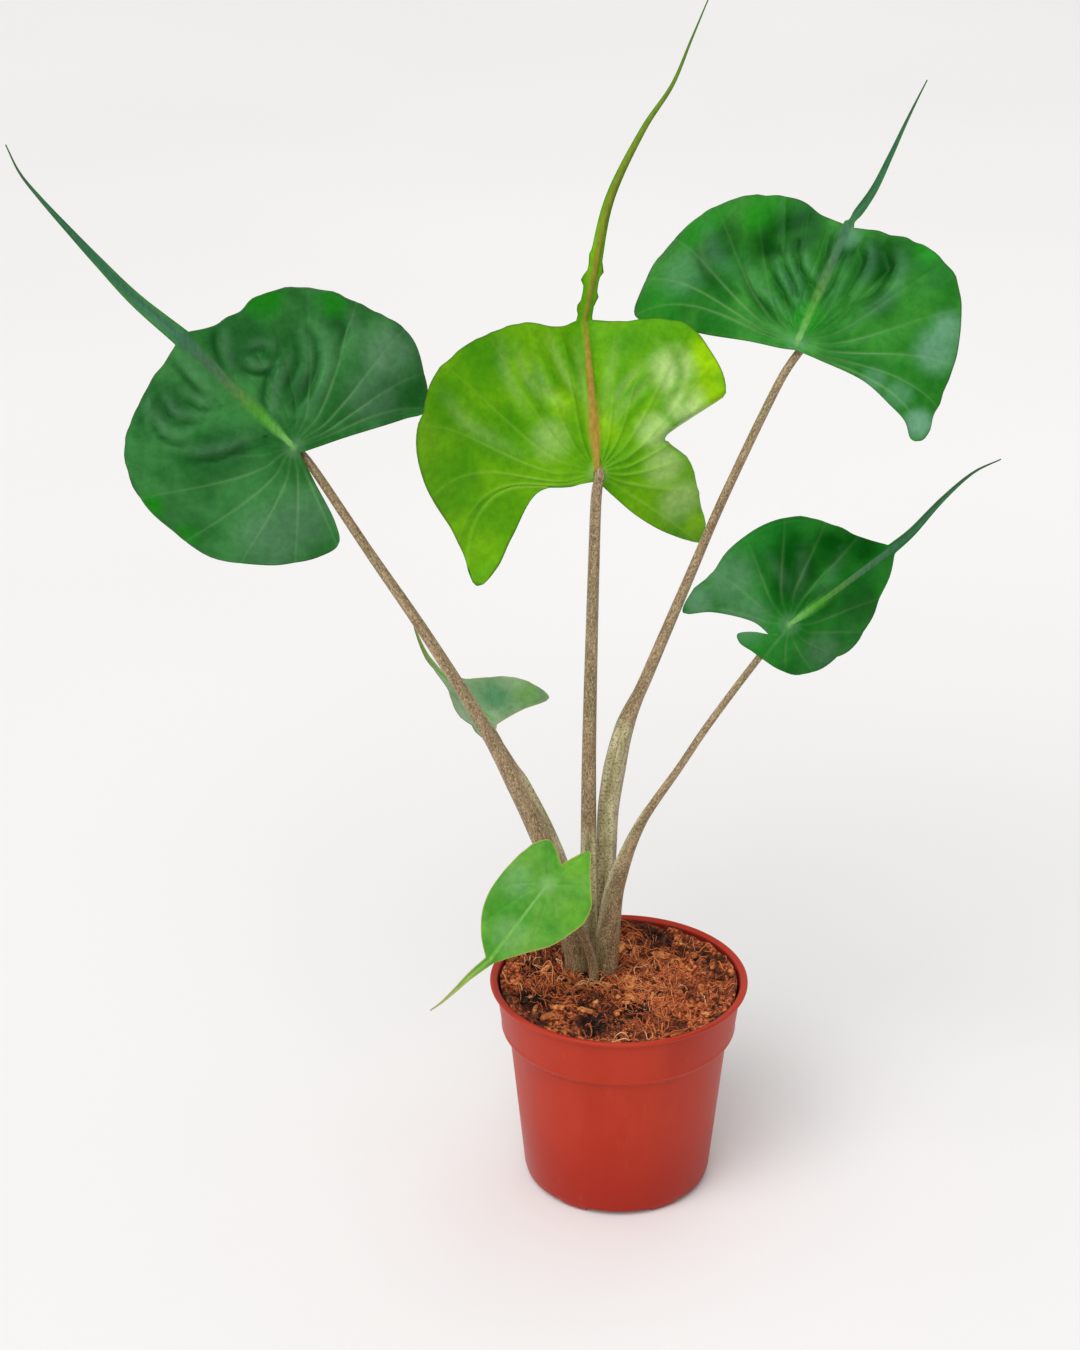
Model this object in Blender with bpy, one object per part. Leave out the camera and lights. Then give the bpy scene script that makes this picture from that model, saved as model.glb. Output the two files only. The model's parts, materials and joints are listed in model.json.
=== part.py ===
"""Potted giant taro: six stingray-shaped leaves on long petioles in a nursery pot.

Lengths are in millimetres until a mesh is made, where MM turns them into metres.
The origin is the middle of the pot's underside, +Z is up and -Y faces the viewer.
"""
import math
import random

import bmesh
import bpy
import numpy as np

MM = 0.001
GAP = 0.3               # clearance kept between neighbouring pieces
UP = (0.0, 0.0, 1.0)

# Nursery pot of the 12 cm size, thin moulded plastic
POT_HEIGHT = 104.0
POT_RIM_RADIUS = 60.0
POT_BAND_TOP_RADIUS = 57.0
POT_BAND_FOOT_RADIUS = 54.4
POT_BAND_DEPTH = 25.0
POT_STEP_DEPTH = 28.0
POT_STEP_RADIUS = 51.0
POT_BODY_FOOT_RADIUS = 44.0
POT_BODY_FOOT_HEIGHT = 6.0
POT_WALL = 1.15
POT_FLOOR = 1.4
POT_SIDES = 60
FOOT_COUNT = 6
FOOT_NOTCH_SIDES = 7    # sides of each sixth that are raised; the other three are a foot
FOOT_NOTCH_HEIGHT = 2.0
FLOOR_DISC_RADIUS = 34.5
DRAIN_RADIUS = 2.4
DRAIN_CIRCLE_RADIUS = 37.6

# Coir potting mix
SOIL_LEVEL = 98.3
SOIL_BUMP = 1.1
CHIP_COUNT = 12
FIBRE_COUNT = 14

# Short buried stem that the petioles grow from
CORM_CENTRE = (-12.0, 19.0)
CORM_TOP = 90.0
CORM_FOOT = 52.0
CORM_RADIUS = 27.0
CORM_SIDES = 24
SOCKET_FLOOR = 82.0
COLLAR_TOP = 104.0      # the petioles stand straight up to this height
HOLE_TOP = 112.0

# Leaf blades
BLADE_THICKNESS = 0.7
HUB_RADIUS = 3.0        # small thick disc where the petiole joins
RIB_DEPTH = 0.65        # how far the main ribs stand out below the blade
LOBE_RIB_HALF_WIDTH = 1.4
PLEAT = 0.9             # height of the soft folds between the side veins
PETIOLE_SIDES = 10
SQUARE_END = 1.8        # last stretch of a petiole, square to the blade


def unit(vector):
    vector = np.asarray(vector, float)
    return vector / np.linalg.norm(vector)


def smooth_path(points, per_span):
    """Catmull-Rom curve through the points, with per_span steps between neighbours."""
    points = np.asarray(points, float)
    padded = np.vstack([2 * points[0] - points[1], points, 2 * points[-1] - points[-2]])
    samples = []
    for i in range(1, len(padded) - 2):
        p0, p1, p2, p3 = padded[i - 1:i + 3]
        for step in range(per_span):
            t = step / per_span
            samples.append(0.5 * (2 * p1 + (p2 - p0) * t + (2 * p0 - 5 * p1 + 4 * p2 - p3) * t ** 2
                                  + (3 * p1 - p0 - 3 * p2 + p3) * t ** 3))
    samples.append(points[-1])
    return np.array(samples)


def lengths_along(path):
    steps = np.linalg.norm(np.diff(path, axis=0), axis=1)
    return np.concatenate([[0.0], np.cumsum(steps)])


def evenly(path, count):
    """The path read at count points an equal distance apart."""
    along = lengths_along(path)
    wanted = np.linspace(0.0, along[-1], count)
    return np.stack([np.interp(wanted, along, path[:, k]) for k in range(path.shape[1])], axis=1)


def read_stations(stations, position):
    """Linear reading of (position, value) stations."""
    places, values = zip(*stations)
    return np.interp(position, places, values)


def ease(value):
    value = np.clip(value, 0.0, 1.0)
    return value * value * (3 - 2 * value)


def material(name, srgb, roughness):
    """Principled material from a colour given as 0-255 sRGB values."""
    def linear(channel):
        channel /= 255
        return channel / 12.92 if channel <= 0.04045 else ((channel + 0.055) / 1.055) ** 2.4
    mat = bpy.data.materials.new(name)
    mat.use_nodes = True
    shader = mat.node_tree.nodes["Principled BSDF"]
    shader.inputs["Base Color"].default_value = (*[linear(c) for c in srgb], 1.0)
    shader.inputs["Roughness"].default_value = roughness
    shader.inputs["Metallic"].default_value = 0.0
    return mat


def make_object(name, points, faces, mat, sharp_degrees=40.0):
    """Triangulated, smooth-shaded mesh object from points in millimetres."""
    mesh = bpy.data.meshes.new(name)
    mesh.from_pydata([tuple(float(c) * MM for c in p) for p in points], [], faces)
    shape = bmesh.new()
    shape.from_mesh(mesh)
    bmesh.ops.triangulate(shape, faces=[f for f in shape.faces if len(f.verts) > 3])
    shape.to_mesh(mesh)
    shape.free()
    mesh.shade_smooth()
    mesh.set_sharp_from_angle(angle=math.radians(sharp_degrees))
    if mat is not None:
        mesh.materials.append(mat)
    obj = bpy.data.objects.new(name, mesh)
    bpy.context.scene.collection.objects.link(obj)
    return obj


def hide_cutter(obj):
    obj.hide_render = True
    obj.display_type = "WIRE"


def boolean(obj, operation, cutter):
    modifier = obj.modifiers.new(operation.title(), "BOOLEAN")
    modifier.operation = operation
    modifier.object = cutter
    return modifier


def quad_as_triangles(a, b, c, d):
    return [(a, b, c), (a, c, d)]


def loft(rings):
    """Points and faces of a capped tube through rings of equal length, run counterclockwise
    as seen from the far end."""
    count = len(rings[0])
    points = [p for ring in rings for p in ring]
    faces = []
    for i in range(len(rings) - 1):
        for k in range(count):
            near, far = i * count, (i + 1) * count
            turn = (k + 1) % count
            faces += quad_as_triangles(near + k, near + turn, far + turn, far + k)
    last = (len(rings) - 1) * count
    faces.append(tuple(reversed(range(count))))
    faces.append(tuple(range(last, last + count)))
    return points, faces


def turned(profile, sides, centre=(0.0, 0.0), lift=None):
    """Solid of revolution. The profile runs from the lower to the upper pole, both at radius 0,
    up the outside. lift(radius, height, side) may raise a point."""
    points = [(centre[0], centre[1], profile[0][1])]
    for radius, height in profile[1:-1]:
        for side in range(sides):
            angle = 2 * math.pi * side / sides
            z = height + (lift(radius, height, side) if lift else 0.0)
            points.append((centre[0] + radius * math.sin(angle), centre[1] - radius * math.cos(angle), z))
    points.append((centre[0], centre[1], profile[-1][1]))
    rings = len(profile) - 2
    faces = []
    for side in range(sides):
        turn = (side + 1) % sides
        faces.append((0, 1 + turn, 1 + side))
        for ring in range(rings - 1):
            low = 1 + ring * sides
            high = low + sides
            faces.append((low + side, low + turn, high + turn, high + side))
        top = 1 + (rings - 1) * sides
        faces.append((top + side, top + turn, len(points) - 1))
    return points, faces


# Pot

def in_notch(side):
    """True on the sides of the base between two feet; a notch is centred on the front."""
    sides_per_foot = POT_SIDES // FOOT_COUNT
    from_middle = (side + sides_per_foot // 2) % sides_per_foot - sides_per_foot // 2
    return abs(from_middle) <= FOOT_NOTCH_SIDES // 2


def notch_lift(radius, height, side):
    low_edge = radius > FLOOR_DISC_RADIUS + 1.0 and height < 3.0
    return FOOT_NOTCH_HEIGHT if low_edge and in_notch(side) else 0.0


def pot_outer_profile():
    band_foot = POT_HEIGHT - POT_BAND_DEPTH
    step = POT_HEIGHT - POT_STEP_DEPTH
    return [(FLOOR_DISC_RADIUS, 0.0), (36.0, 0.0), (40.4, 0.0), (42.0, 0.7), (43.2, 3.0),
            (POT_BODY_FOOT_RADIUS, POT_BODY_FOOT_HEIGHT), (POT_STEP_RADIUS, step),
            (POT_BAND_FOOT_RADIUS, band_foot),
            (POT_BAND_TOP_RADIUS, 100.8), (57.5, 101.5), (59.5, 101.8)]


def pot_inner_profile():
    """Inner wall from the band's top down to the floor."""
    band_foot = POT_HEIGHT - POT_BAND_DEPTH
    step = POT_HEIGHT - POT_STEP_DEPTH
    return [(POT_BAND_TOP_RADIUS - POT_WALL, 100.8), (POT_BAND_FOOT_RADIUS - POT_WALL, band_foot + 0.5),
            (POT_STEP_RADIUS - POT_WALL, step + 0.6),
            (POT_BODY_FOOT_RADIUS - POT_WALL, POT_BODY_FOOT_HEIGHT), (41.2, 2.6), (36.2, POT_FLOOR),
            (FLOOR_DISC_RADIUS - 0.3, POT_FLOOR)]


def make_pot():
    rim = [(POT_RIM_RADIUS, 102.9), (59.5, POT_HEIGHT), (57.3, POT_HEIGHT), (56.3, 103.2)]
    profile = [(0.0, 0.0)] + pot_outer_profile() + rim + pot_inner_profile() + [(0.0, POT_FLOOR)]
    points, faces = turned(profile, POT_SIDES, lift=notch_lift)
    pot = make_object("pot", points, faces, material("terracotta_plastic", (184, 66, 48), 0.42), 25.0)
    drains = []
    for foot in range(FOOT_COUNT):
        angle = 2 * math.pi * foot / FOOT_COUNT
        middle = (DRAIN_CIRCLE_RADIUS * math.sin(angle), -DRAIN_CIRCLE_RADIUS * math.cos(angle))
        drains.append(round_bar(middle, DRAIN_RADIUS, -2.0, 7.0, 8))
    cutter = make_joined("pot_drain_cutter", drains)
    hide_cutter(cutter)
    boolean(pot, "DIFFERENCE", cutter)
    return pot


def round_bar(centre, radius, low, high, sides):
    """Upright bar for cutting plain holes."""
    rings = [[(centre[0] + radius * math.cos(2 * math.pi * k / sides),
               centre[1] + radius * math.sin(2 * math.pi * k / sides), z) for k in range(sides)]
             for z in (low, high)]
    return loft(rings)


def make_joined(name, shapes):
    """One object from several separate closed shapes."""
    points, faces = [], []
    for shape_points, shape_faces in shapes:
        start = len(points)
        points += list(shape_points)
        faces += [tuple(start + i for i in face) for face in shape_faces]
    return make_object(name, points, faces, None)


# Potting mix and the buried stem

def soil_height(x, y):
    """Uneven top of the mix, higher round the petioles."""
    bumps = (math.sin(0.21 * x + 0.9) * math.cos(0.26 * y - 0.4) + 0.7 * math.sin(0.43 * x - 0.35 * y)
             + 0.5 * math.cos(0.61 * y + 0.38 * x + 1.7))
    from_stem = math.hypot(x - CORM_CENTRE[0], y - CORM_CENTRE[1])
    return SOIL_LEVEL + SOIL_BUMP * bumps * 0.6 + 1.2 * math.exp(-(from_stem / 26.0) ** 2)


def soil_solid():
    inner = pot_inner_profile()
    clear = [(radius - GAP, height) for radius, height in inner]
    edge_radius = read_stations([(z, r) for r, z in reversed(clear[:4])], SOIL_LEVEL)
    floor_clear = POT_FLOOR + GAP
    low = [(FLOOR_DISC_RADIUS - 1.6, floor_clear), (FLOOR_DISC_RADIUS + 0.2, floor_clear + 2.2),
           (39.6, floor_clear + 3.0)]
    sides = [clear[3], (clear[2][0], clear[2][1] + 0.1), (clear[1][0], clear[1][1] + 0.1)]
    top_radii = [edge_radius, 51.0, 46.0, 40.5, 34.5, 28.0, 20.5, 11.5]
    profile = [(0.0, floor_clear)] + low + sides + [(r, SOIL_LEVEL) for r in top_radii] + [(0.0, SOIL_LEVEL)]
    points, faces = turned(profile, POT_SIDES)
    first_top = 1 + (len(low) + len(sides)) * POT_SIDES
    for i in range(first_top, len(points)):
        x, y, _ = points[i]
        points[i] = (x, y, soil_height(x, y))
    return points, faces


def open_soil_spots(count, random_draw, margin, spacing):
    """Random places on the mix that stay clear of the petioles and of each other."""
    spots = []
    while len(spots) < count:
        angle = random_draw.uniform(0, 2 * math.pi)
        radius = 49.0 * math.sqrt(random_draw.uniform(0.05, 1.0))
        x, y = radius * math.cos(angle), radius * math.sin(angle)
        near_petiole = any(math.hypot(x - leaf["foot"][0], y - leaf["foot"][1]) < margin + leaf["girth"][0][1]
                           for leaf in LEAVES.values())
        near_other = any(math.hypot(x - sx, y - sy) < spacing for sx, sy in spots)
        if not near_petiole and not near_other:
            spots.append((x, y))
    return spots


def chip_shape(x, y, random_draw):
    """Rough husk chip, about half sunk in the mix."""
    long_side = random_draw.uniform(7.0, 11.0)
    wide_side = random_draw.uniform(4.0, 6.5)
    turn = random_draw.uniform(0, math.pi)
    rings = []
    for level, scale in ((-3.0, 0.8), (0.8, 1.0), (2.2, 0.6)):
        ring = []
        for k in range(5):
            angle = 2 * math.pi * k / 5
            reach = scale * random_draw.uniform(0.8, 1.1)
            dx = 0.5 * long_side * reach * math.cos(angle)
            dy = 0.5 * wide_side * reach * math.sin(angle)
            ring.append((x + dx * math.cos(turn) - dy * math.sin(turn),
                         y + dx * math.sin(turn) + dy * math.cos(turn),
                         soil_height(x, y) + level + random_draw.uniform(-0.3, 0.3)))
        rings.append(ring)
    return loft(rings)


def fibre_shape(x, y, random_draw):
    """Coir strand that leaves the mix and dips back into it."""
    half_length = random_draw.uniform(7.0, 11.0)
    turn = random_draw.uniform(0, 2 * math.pi)
    curve = random_draw.uniform(-0.35, 0.35)
    rise = random_draw.uniform(0.5, 1.2)
    middle = []
    for k in range(5):
        t = -1.0 + 0.5 * k
        px = x + half_length * t * math.cos(turn) - half_length * curve * t * t * math.sin(turn)
        py = y + half_length * t * math.sin(turn) + half_length * curve * t * t * math.cos(turn)
        middle.append((px, py, soil_height(px, py) + rise * (1 - 2.6 * t * t)))
    return tube(middle, [0.75] * 5, 3)


def tube(path, radii, sides):
    """Tapered tube along a path, with its rings square to the path."""
    frames = frames_along(path, UP)
    rings = []
    for point, radius, (_, side, rise) in zip(path, radii, frames):
        rings.append([np.asarray(point) + radius * (math.cos(2 * math.pi * k / sides) * side
                                                    + math.sin(2 * math.pi * k / sides) * rise)
                      for k in range(sides)])
    return loft(rings)


def frames_along(path, reference):
    """(tangent, side, rise) at each point, carried along the path without twisting."""
    path = np.asarray(path, float)
    tangents = np.gradient(path, axis=0)
    rise = np.asarray(reference, float)
    frames = []
    for tangent in tangents:
        tangent = unit(tangent)
        rise = unit(rise - tangent * (rise @ tangent))
        frames.append((tangent, np.cross(rise, tangent), rise))
    return frames


def corm_profile(grow=0.0):
    shape = [(0.0, CORM_FOOT - grow), (11.0, CORM_FOOT + 1.0 - grow), (19.0, 58.0 - grow * 0.7),
             (24.0, 67.0 - grow * 0.3), (CORM_RADIUS, 78.0), (CORM_RADIUS - 0.6, 87.0 + grow * 0.5),
             (CORM_RADIUS - 3.0, CORM_TOP + grow), (0.0, CORM_TOP + grow)]
    return [(radius + grow if radius else 0.0, height) for radius, height in shape]


def make_soil_and_corm():
    random_draw = random.Random(12)
    soil = make_object("potting_mix", *soil_solid(), material("coir_mix", (98, 48, 34), 0.95))
    debris = bpy.data.collections.new("debris")
    bpy.context.scene.collection.children.link(debris)
    chips = open_soil_spots(CHIP_COUNT, random_draw, 9.0, 11.0)
    shapes = [chip_shape(x, y, random_draw) for x, y in chips]
    fibres = open_soil_spots(FIBRE_COUNT, random_draw, 13.0, 8.0)
    shapes += [fibre_shape(x * 0.82, y * 0.82, random_draw) for x, y in fibres]
    for index, (points, faces) in enumerate(shapes):
        piece = make_object(f"debris_{index}", points, faces, None)
        bpy.context.scene.collection.objects.unlink(piece)
        debris.objects.link(piece)
    union = boolean(soil, "UNION", None)
    union.operand_type = "COLLECTION"
    union.collection = debris
    apply_modifiers(soil)
    for piece in list(debris.objects):
        bpy.data.objects.remove(piece)
    bpy.data.collections.remove(debris)

    corm = make_object("corm", *turned(corm_profile(), CORM_SIDES, CORM_CENTRE),
                       material("corm_skin", (112, 84, 58), 0.85))
    cavity = make_object("corm_cavity_cutter", *turned(corm_profile(GAP + 0.1), CORM_SIDES, CORM_CENTRE), None)
    hide_cutter(cavity)
    sockets = [petiole_hole(leaf) for leaf in LEAVES.values()]
    holes = make_joined("petiole_hole_cutter", sockets)
    hide_cutter(holes)
    boolean(corm, "DIFFERENCE", holes)
    boolean(soil, "DIFFERENCE", cavity)
    boolean(soil, "DIFFERENCE", holes)


def apply_modifiers(obj):
    graph = bpy.context.evaluated_depsgraph_get()
    mesh = bpy.data.meshes.new_from_object(obj.evaluated_get(graph))
    obj.modifiers.clear()
    obj.data = mesh


def petiole_hole(leaf):
    """Plain upright hole round a petiole's foot, with the petiole's own sides."""
    x, y = leaf["foot"]
    radius = leaf["girth"][0][1] + GAP + 0.05
    inward = inward_direction(leaf)
    across = np.cross(inward, UP)
    rings = []
    for z in (SOCKET_FLOOR, HOLE_TOP):
        rings.append([np.array((x, y, z)) + radius * (math.cos(2 * math.pi * k / PETIOLE_SIDES) * across
                                                      + math.sin(2 * math.pi * k / PETIOLE_SIDES) * inward)
                      for k in range(PETIOLE_SIDES)])
    return loft(rings)


# Petioles

def inward_direction(leaf):
    """Level direction from the petiole's foot to the middle of the crown, where its groove faces."""
    x, y = leaf["foot"]
    towards = np.array([CORM_CENTRE[0] - x, CORM_CENTRE[1] - y, 0.0])
    return unit(towards)


def petiole_path(leaf):
    """Foot in the corm, through the leaf's own points, and square into the blade's underside."""
    x, y = leaf["foot"]
    joint = np.array(leaf["joint"], float)
    below = -unit(leaf_axes(leaf)[2])
    meet = BLADE_THICKNESS / 2 + RIB_DEPTH + GAP
    elbow = leaf["elbow"]
    points = [(x, y, SOCKET_FLOOR + GAP), (x, y, COLLAR_TOP)] + list(leaf["stalk"])
    points += [tuple(joint + below * elbow), tuple(joint + below * (meet + SQUARE_END))]
    return np.vstack([smooth_path(points, 2), joint + below * meet])


def make_petiole(name, leaf, mat):
    path = petiole_path(leaf)
    path[1, :2] = path[0, :2]
    frames = frames_along(path, inward_direction(leaf))
    along = lengths_along(path)
    fractions = along / along[-1]
    rings = []
    for point, fraction, (_, side, rise) in zip(path, fractions, frames):
        radius = read_stations(leaf["girth"], fraction)
        groove = read_stations(((0.0, 0.0), (0.1, 0.0), (0.2, 0.32), (leaf["sheath"], 0.3),
                                (leaf["sheath"] + 0.06, 0.1), (1.0, 0.06)), fraction)
        ring = []
        for k in range(PETIOLE_SIDES):
            angle = 2 * math.pi * k / PETIOLE_SIDES
            from_groove = (angle - math.pi / 2) / 0.6
            reach = radius * (1 - groove * math.exp(-from_groove ** 2))
            ring.append(point + reach * (math.cos(angle) * side + math.sin(angle) * rise))
        rings.append(ring)
    return make_object(name, *loft(rings), mat)


# Blades

def leaf_axes(leaf):
    """Right, tip and upper-face directions of a blade, square to each other."""
    tip = unit(leaf["tip"])
    face = np.asarray(leaf["face"], float)
    face = unit(face - tip * (face @ tip))
    return np.cross(tip, face), tip, face


def planar(angle, reach):
    """Flat place of a margin station; the angle is from the tail, positive to the right."""
    return (reach * math.sin(math.radians(angle)), reach * math.cos(math.radians(angle)))


def side_margin(leaf, side):
    """Front and rear runs of one half's margin, from the tail to the lobe and to the sinus."""
    sign = 1 if side == "right" else -1
    front, lobe, rear = leaf[side]
    shoulder = (sign * leaf["tail_half_width"], leaf["reach"])
    lobe_point = planar(sign * lobe[0], lobe[1])
    front_points = [shoulder] + [planar(sign * a, r) for a, r in front] + [lobe_point]
    rear_points = [lobe_point] + [planar(sign * a, r) for a, r in rear] + [(0.0, -leaf["sinus"])]
    return smooth_path(front_points, 12), smooth_path(rear_points, 12)


def read_at_angles(run, angles):
    """Points of a margin run at given angles from the tail."""
    run_angles = np.degrees(np.arctan2(np.abs(run[:, 0]), run[:, 1]))
    order = np.argsort(run_angles)
    return np.stack([np.interp(angles, run_angles[order], run[order, k]) for k in (0, 1)], axis=1)


def margin_spokes(leaf):
    """Margin points, one a spoke, clockwise from the tail as seen on the upper face, and the
    set of spokes that carry a main rib."""
    halves = {}
    for side in ("right", "left"):
        front, rear = side_margin(leaf, side)
        first = math.degrees(math.atan2(leaf["tail_half_width"], leaf["reach"]))
        lobe_angle = leaf[side][1][0]
        step = (lobe_angle - first) / leaf["spokes"]
        front_part = read_at_angles(front, [first + step * k for k in range(leaf["spokes"])])
        to_lobe = unit(front[-1] - front[-4]) * LOBE_RIB_HALF_WIDTH
        from_lobe = unit(rear[3] - rear[0]) * LOBE_RIB_HALF_WIDTH
        lobe_part = np.array([front[-1] - to_lobe, front[-1], rear[0] + from_lobe])
        rear_part = evenly(rear, leaf["rear_spokes"] + 2)[1:-1]
        halves[side] = np.vstack([front_part, lobe_part, rear_part])
    right, left = halves["right"], halves["left"]
    spokes = np.vstack([[(0.0, leaf["reach"])], right, [(0.0, -leaf["sinus"])], left[::-1]])
    right_rib = 1 + leaf["spokes"] + 1
    return spokes, {0, right_rib, len(spokes) - right_rib}


def bend_terms(leaf, x, y):
    """Slope at the hub and slope gained by 50 mm out, in degrees, at a flat place."""
    angle = np.degrees(np.arctan2(x, y))
    right_angles, right_slopes, right_gains = zip(*leaf["bend_right"])
    left_angles, left_slopes, left_gains = zip(*leaf["bend_left"])
    places = [-a for a in reversed(left_angles)] + list(right_angles[1:])
    slopes = list(reversed(left_slopes)) + list(right_slopes[1:])
    gains = list(reversed(left_gains)) + list(right_gains[1:])
    return np.interp(angle, places, slopes), np.interp(angle, places, gains), angle


def blade_surface(leaf, x, y):
    """Middle surface of the blade above a flat place, found by walking out from the hub
    while the slope changes. Returns a point in the leaf's own right, tip, face axes."""
    reach = math.hypot(x, y)
    if reach < 1e-6:
        return np.zeros(3)
    slope, gain, angle = bend_terms(leaf, x, y)
    steps = 16
    out = (np.arange(steps) + 0.5) / steps * reach
    tilt = slope * ease(out / 12.0) + gain * (out / 50.0) ** 1.5
    for from_angle, to_angle, from_start, to_start, turn, over in leaf["folds"]:
        across = (angle - from_angle) / (to_angle - from_angle)
        near = ease((0.5 - abs(across - 0.5)) * 6.0)
        start = from_start + (to_start - from_start) * across
        tilt = tilt + near * turn * ease((out - start) / over)
    tilt = np.radians(tilt)
    level = np.cos(tilt).sum() * reach / steps
    height = np.sin(tilt).sum() * reach / steps
    height += leaf["pleat"] * pleat_height(leaf, angle, reach) + ruffle_height(leaf, angle, reach)
    return np.array([level * x / reach, level * y / reach, height])


def pleat_height(leaf, angle, reach):
    """Soft ridges between the side veins, which fan out from the hub."""
    lobe_angle = leaf["right"][1][0] if angle > 0 else leaf["left"][1][0]
    first = math.degrees(math.atan2(leaf["tail_half_width"], leaf["reach"]))
    step = (lobe_angle - first) / leaf["spokes"]
    turn = (abs(angle) - first) / step
    if turn < 0.0 or abs(angle) > lobe_angle:
        return 0.0
    fade = ease(reach / 25.0) * (1 - 0.5 * ease((reach - 45.0) / 30.0))
    return -math.cos(math.pi * turn) * fade


def ruffle_height(leaf, angle, reach):
    """Slow wave of the margin."""
    height, waves, phase = leaf["ruffle"]
    return height * (reach / 60.0) ** 2 * math.sin(math.radians(waves * angle + phase))


def blade_frame_at(leaf, x, y):
    """Middle surface and its unit normal, by small steps to either side."""
    small = 0.4
    across = blade_surface(leaf, x + small, y) - blade_surface(leaf, x - small, y)
    ahead = blade_surface(leaf, x, y + small) - blade_surface(leaf, x, y - small)
    return blade_surface(leaf, x, y), unit(np.cross(across, ahead))


def rib_width(leaf, ring_fraction):
    """Half width of the midrib at a fraction of the way from the hub to the tail."""
    return 1.1 + (leaf["tail_half_width"] - 1.1) * ring_fraction ** 1.5


def flat_place(leaf, spokes, spoke, fraction):
    """Flat place on a spoke, from the hub's edge at fraction 0 to the margin at 1."""
    end = spokes[spoke]
    last = len(spokes) - 1
    if spoke in (0, 1, last):
        sign = {0: 0, 1: 1, last: -1}[spoke]
        return (sign * rib_width(leaf, fraction), HUB_RADIUS + (leaf["reach"] - HUB_RADIUS) * fraction)
    start = unit(end) * HUB_RADIUS
    # spokes next to the midrib start a little further round, clear of the rib
    crowd = math.exp(-abs(math.degrees(math.atan2(end[0], end[1]))) / 30.0)
    turn = math.copysign(math.radians(28.0) * crowd, end[0])
    start = np.array([start[0] * math.cos(turn) + start[1] * math.sin(turn),
                      start[1] * math.cos(turn) - start[0] * math.sin(turn)])
    return tuple(start + (end - start) * fraction)


def blade_points(leaf):
    """Upper and lower points of the blade in the leaf's own axes, ring by ring."""
    spokes, ribs = margin_spokes(leaf)
    rings = leaf["rings"]
    half = BLADE_THICKNESS / 2
    upper = [np.array([0.0, 0.0, half])]
    lower = [np.array([0.0, 0.0, -half - RIB_DEPTH])]
    for ring in range(rings + 1):
        fraction = ring / rings
        for spoke in range(len(spokes)):
            x, y = flat_place(leaf, spokes, spoke, fraction)
            middle, normal = blade_frame_at(leaf, x, y)
            depth = half
            if ring == 0:
                depth += RIB_DEPTH
            elif spoke == 0:
                depth += RIB_DEPTH
            elif spoke in ribs:
                depth += RIB_DEPTH * (1 - fraction)
            upper.append(middle + normal * half)
            lower.append(middle - normal * depth)
    return upper, lower, len(spokes)


def tail_rings(leaf, spoke_count, upper, lower, to_world):
    """Six-sided sections of the tail, carried on from the midrib's end."""
    rings = leaf["rings"]
    last_ring = 1 + rings * spoke_count
    order = (last_ring + spoke_count - 1, last_ring, last_ring + 1)
    start = [to_world(upper[i]) for i in order] + [to_world(lower[i]) for i in reversed(order)]
    start_middle = np.mean(start, axis=0)
    path = evenly(smooth_path([start_middle] + [np.array(p, float) for p in leaf["tail"]], 6),
                  leaf["tail_rings"] + 1)
    side = unit(start[2] - start[0])
    sections = []
    tangents = np.gradient(path, axis=0)
    for index in range(1, len(path)):
        fraction = index / (len(path) - 1)
        tangent = unit(tangents[index])
        side = unit(side - tangent * (side @ tangent))
        rise = np.cross(side, tangent)
        half_width = 0.35 + (leaf["tail_half_width"] - 0.35) * (1 - fraction) ** 1.3
        half_height = 0.35 + 0.35 * (1 - fraction)
        sections.append([path[index] - side * half_width + rise * half_height,
                         path[index] + rise * half_height * 0.6,
                         path[index] + side * half_width + rise * half_height,
                         path[index] + side * half_width - rise * half_height * 0.2,
                         path[index] - rise * half_height * 1.3,
                         path[index] - side * half_width - rise * half_height * 0.2])
    return sections


def make_blade(name, leaf, mat):
    """Blade, ribs and tail as one closed skin."""
    upper, lower, count = blade_points(leaf)
    joint = np.array(leaf["joint"], float)
    axes = np.array(leaf_axes(leaf))

    def to_world(local):
        return joint + local @ axes

    points = [to_world(p) for p in upper + lower]
    below = len(upper)
    faces = []
    rings = leaf["rings"]
    for spoke in range(count):
        turn = (spoke + 1) % count
        faces.append((0, 1 + turn, 1 + spoke))
        faces.append((below, below + 1 + spoke, below + 1 + turn))
        for ring in range(rings):
            near, far = 1 + ring * count, 1 + (ring + 1) * count
            a, b, c, d = near + spoke, near + turn, far + turn, far + spoke
            if spoke < count // 2:
                split = ((a, b, c), (a, c, d))
            else:
                split = ((a, b, d), (b, c, d))
            faces += list(split)
            faces += [tuple(below + i for i in reversed(face)) for face in split]
        outer = 1 + rings * count
        if spoke not in (0, count - 1):
            a, b = outer + spoke, outer + turn
            faces += quad_as_triangles(a, b, below + b, below + a)
    sections = tail_rings(leaf, count, upper, lower, to_world)
    outer = 1 + rings * count
    order = (outer + count - 1, outer, outer + 1)
    previous = list(order) + [below + i for i in reversed(order)]
    for section in sections:
        start = len(points)
        points += section
        current = list(range(start, start + 6))
        for k in range(6):
            turn = (k + 1) % 6
            faces += quad_as_triangles(previous[k], previous[turn], current[turn], current[k])
        previous = current
    faces += [(previous[0], previous[1], previous[2]), (previous[0], previous[2], previous[3]),
              (previous[0], previous[3], previous[5]), (previous[3], previous[4], previous[5])]
    return make_object(name, points, faces, mat)


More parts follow.
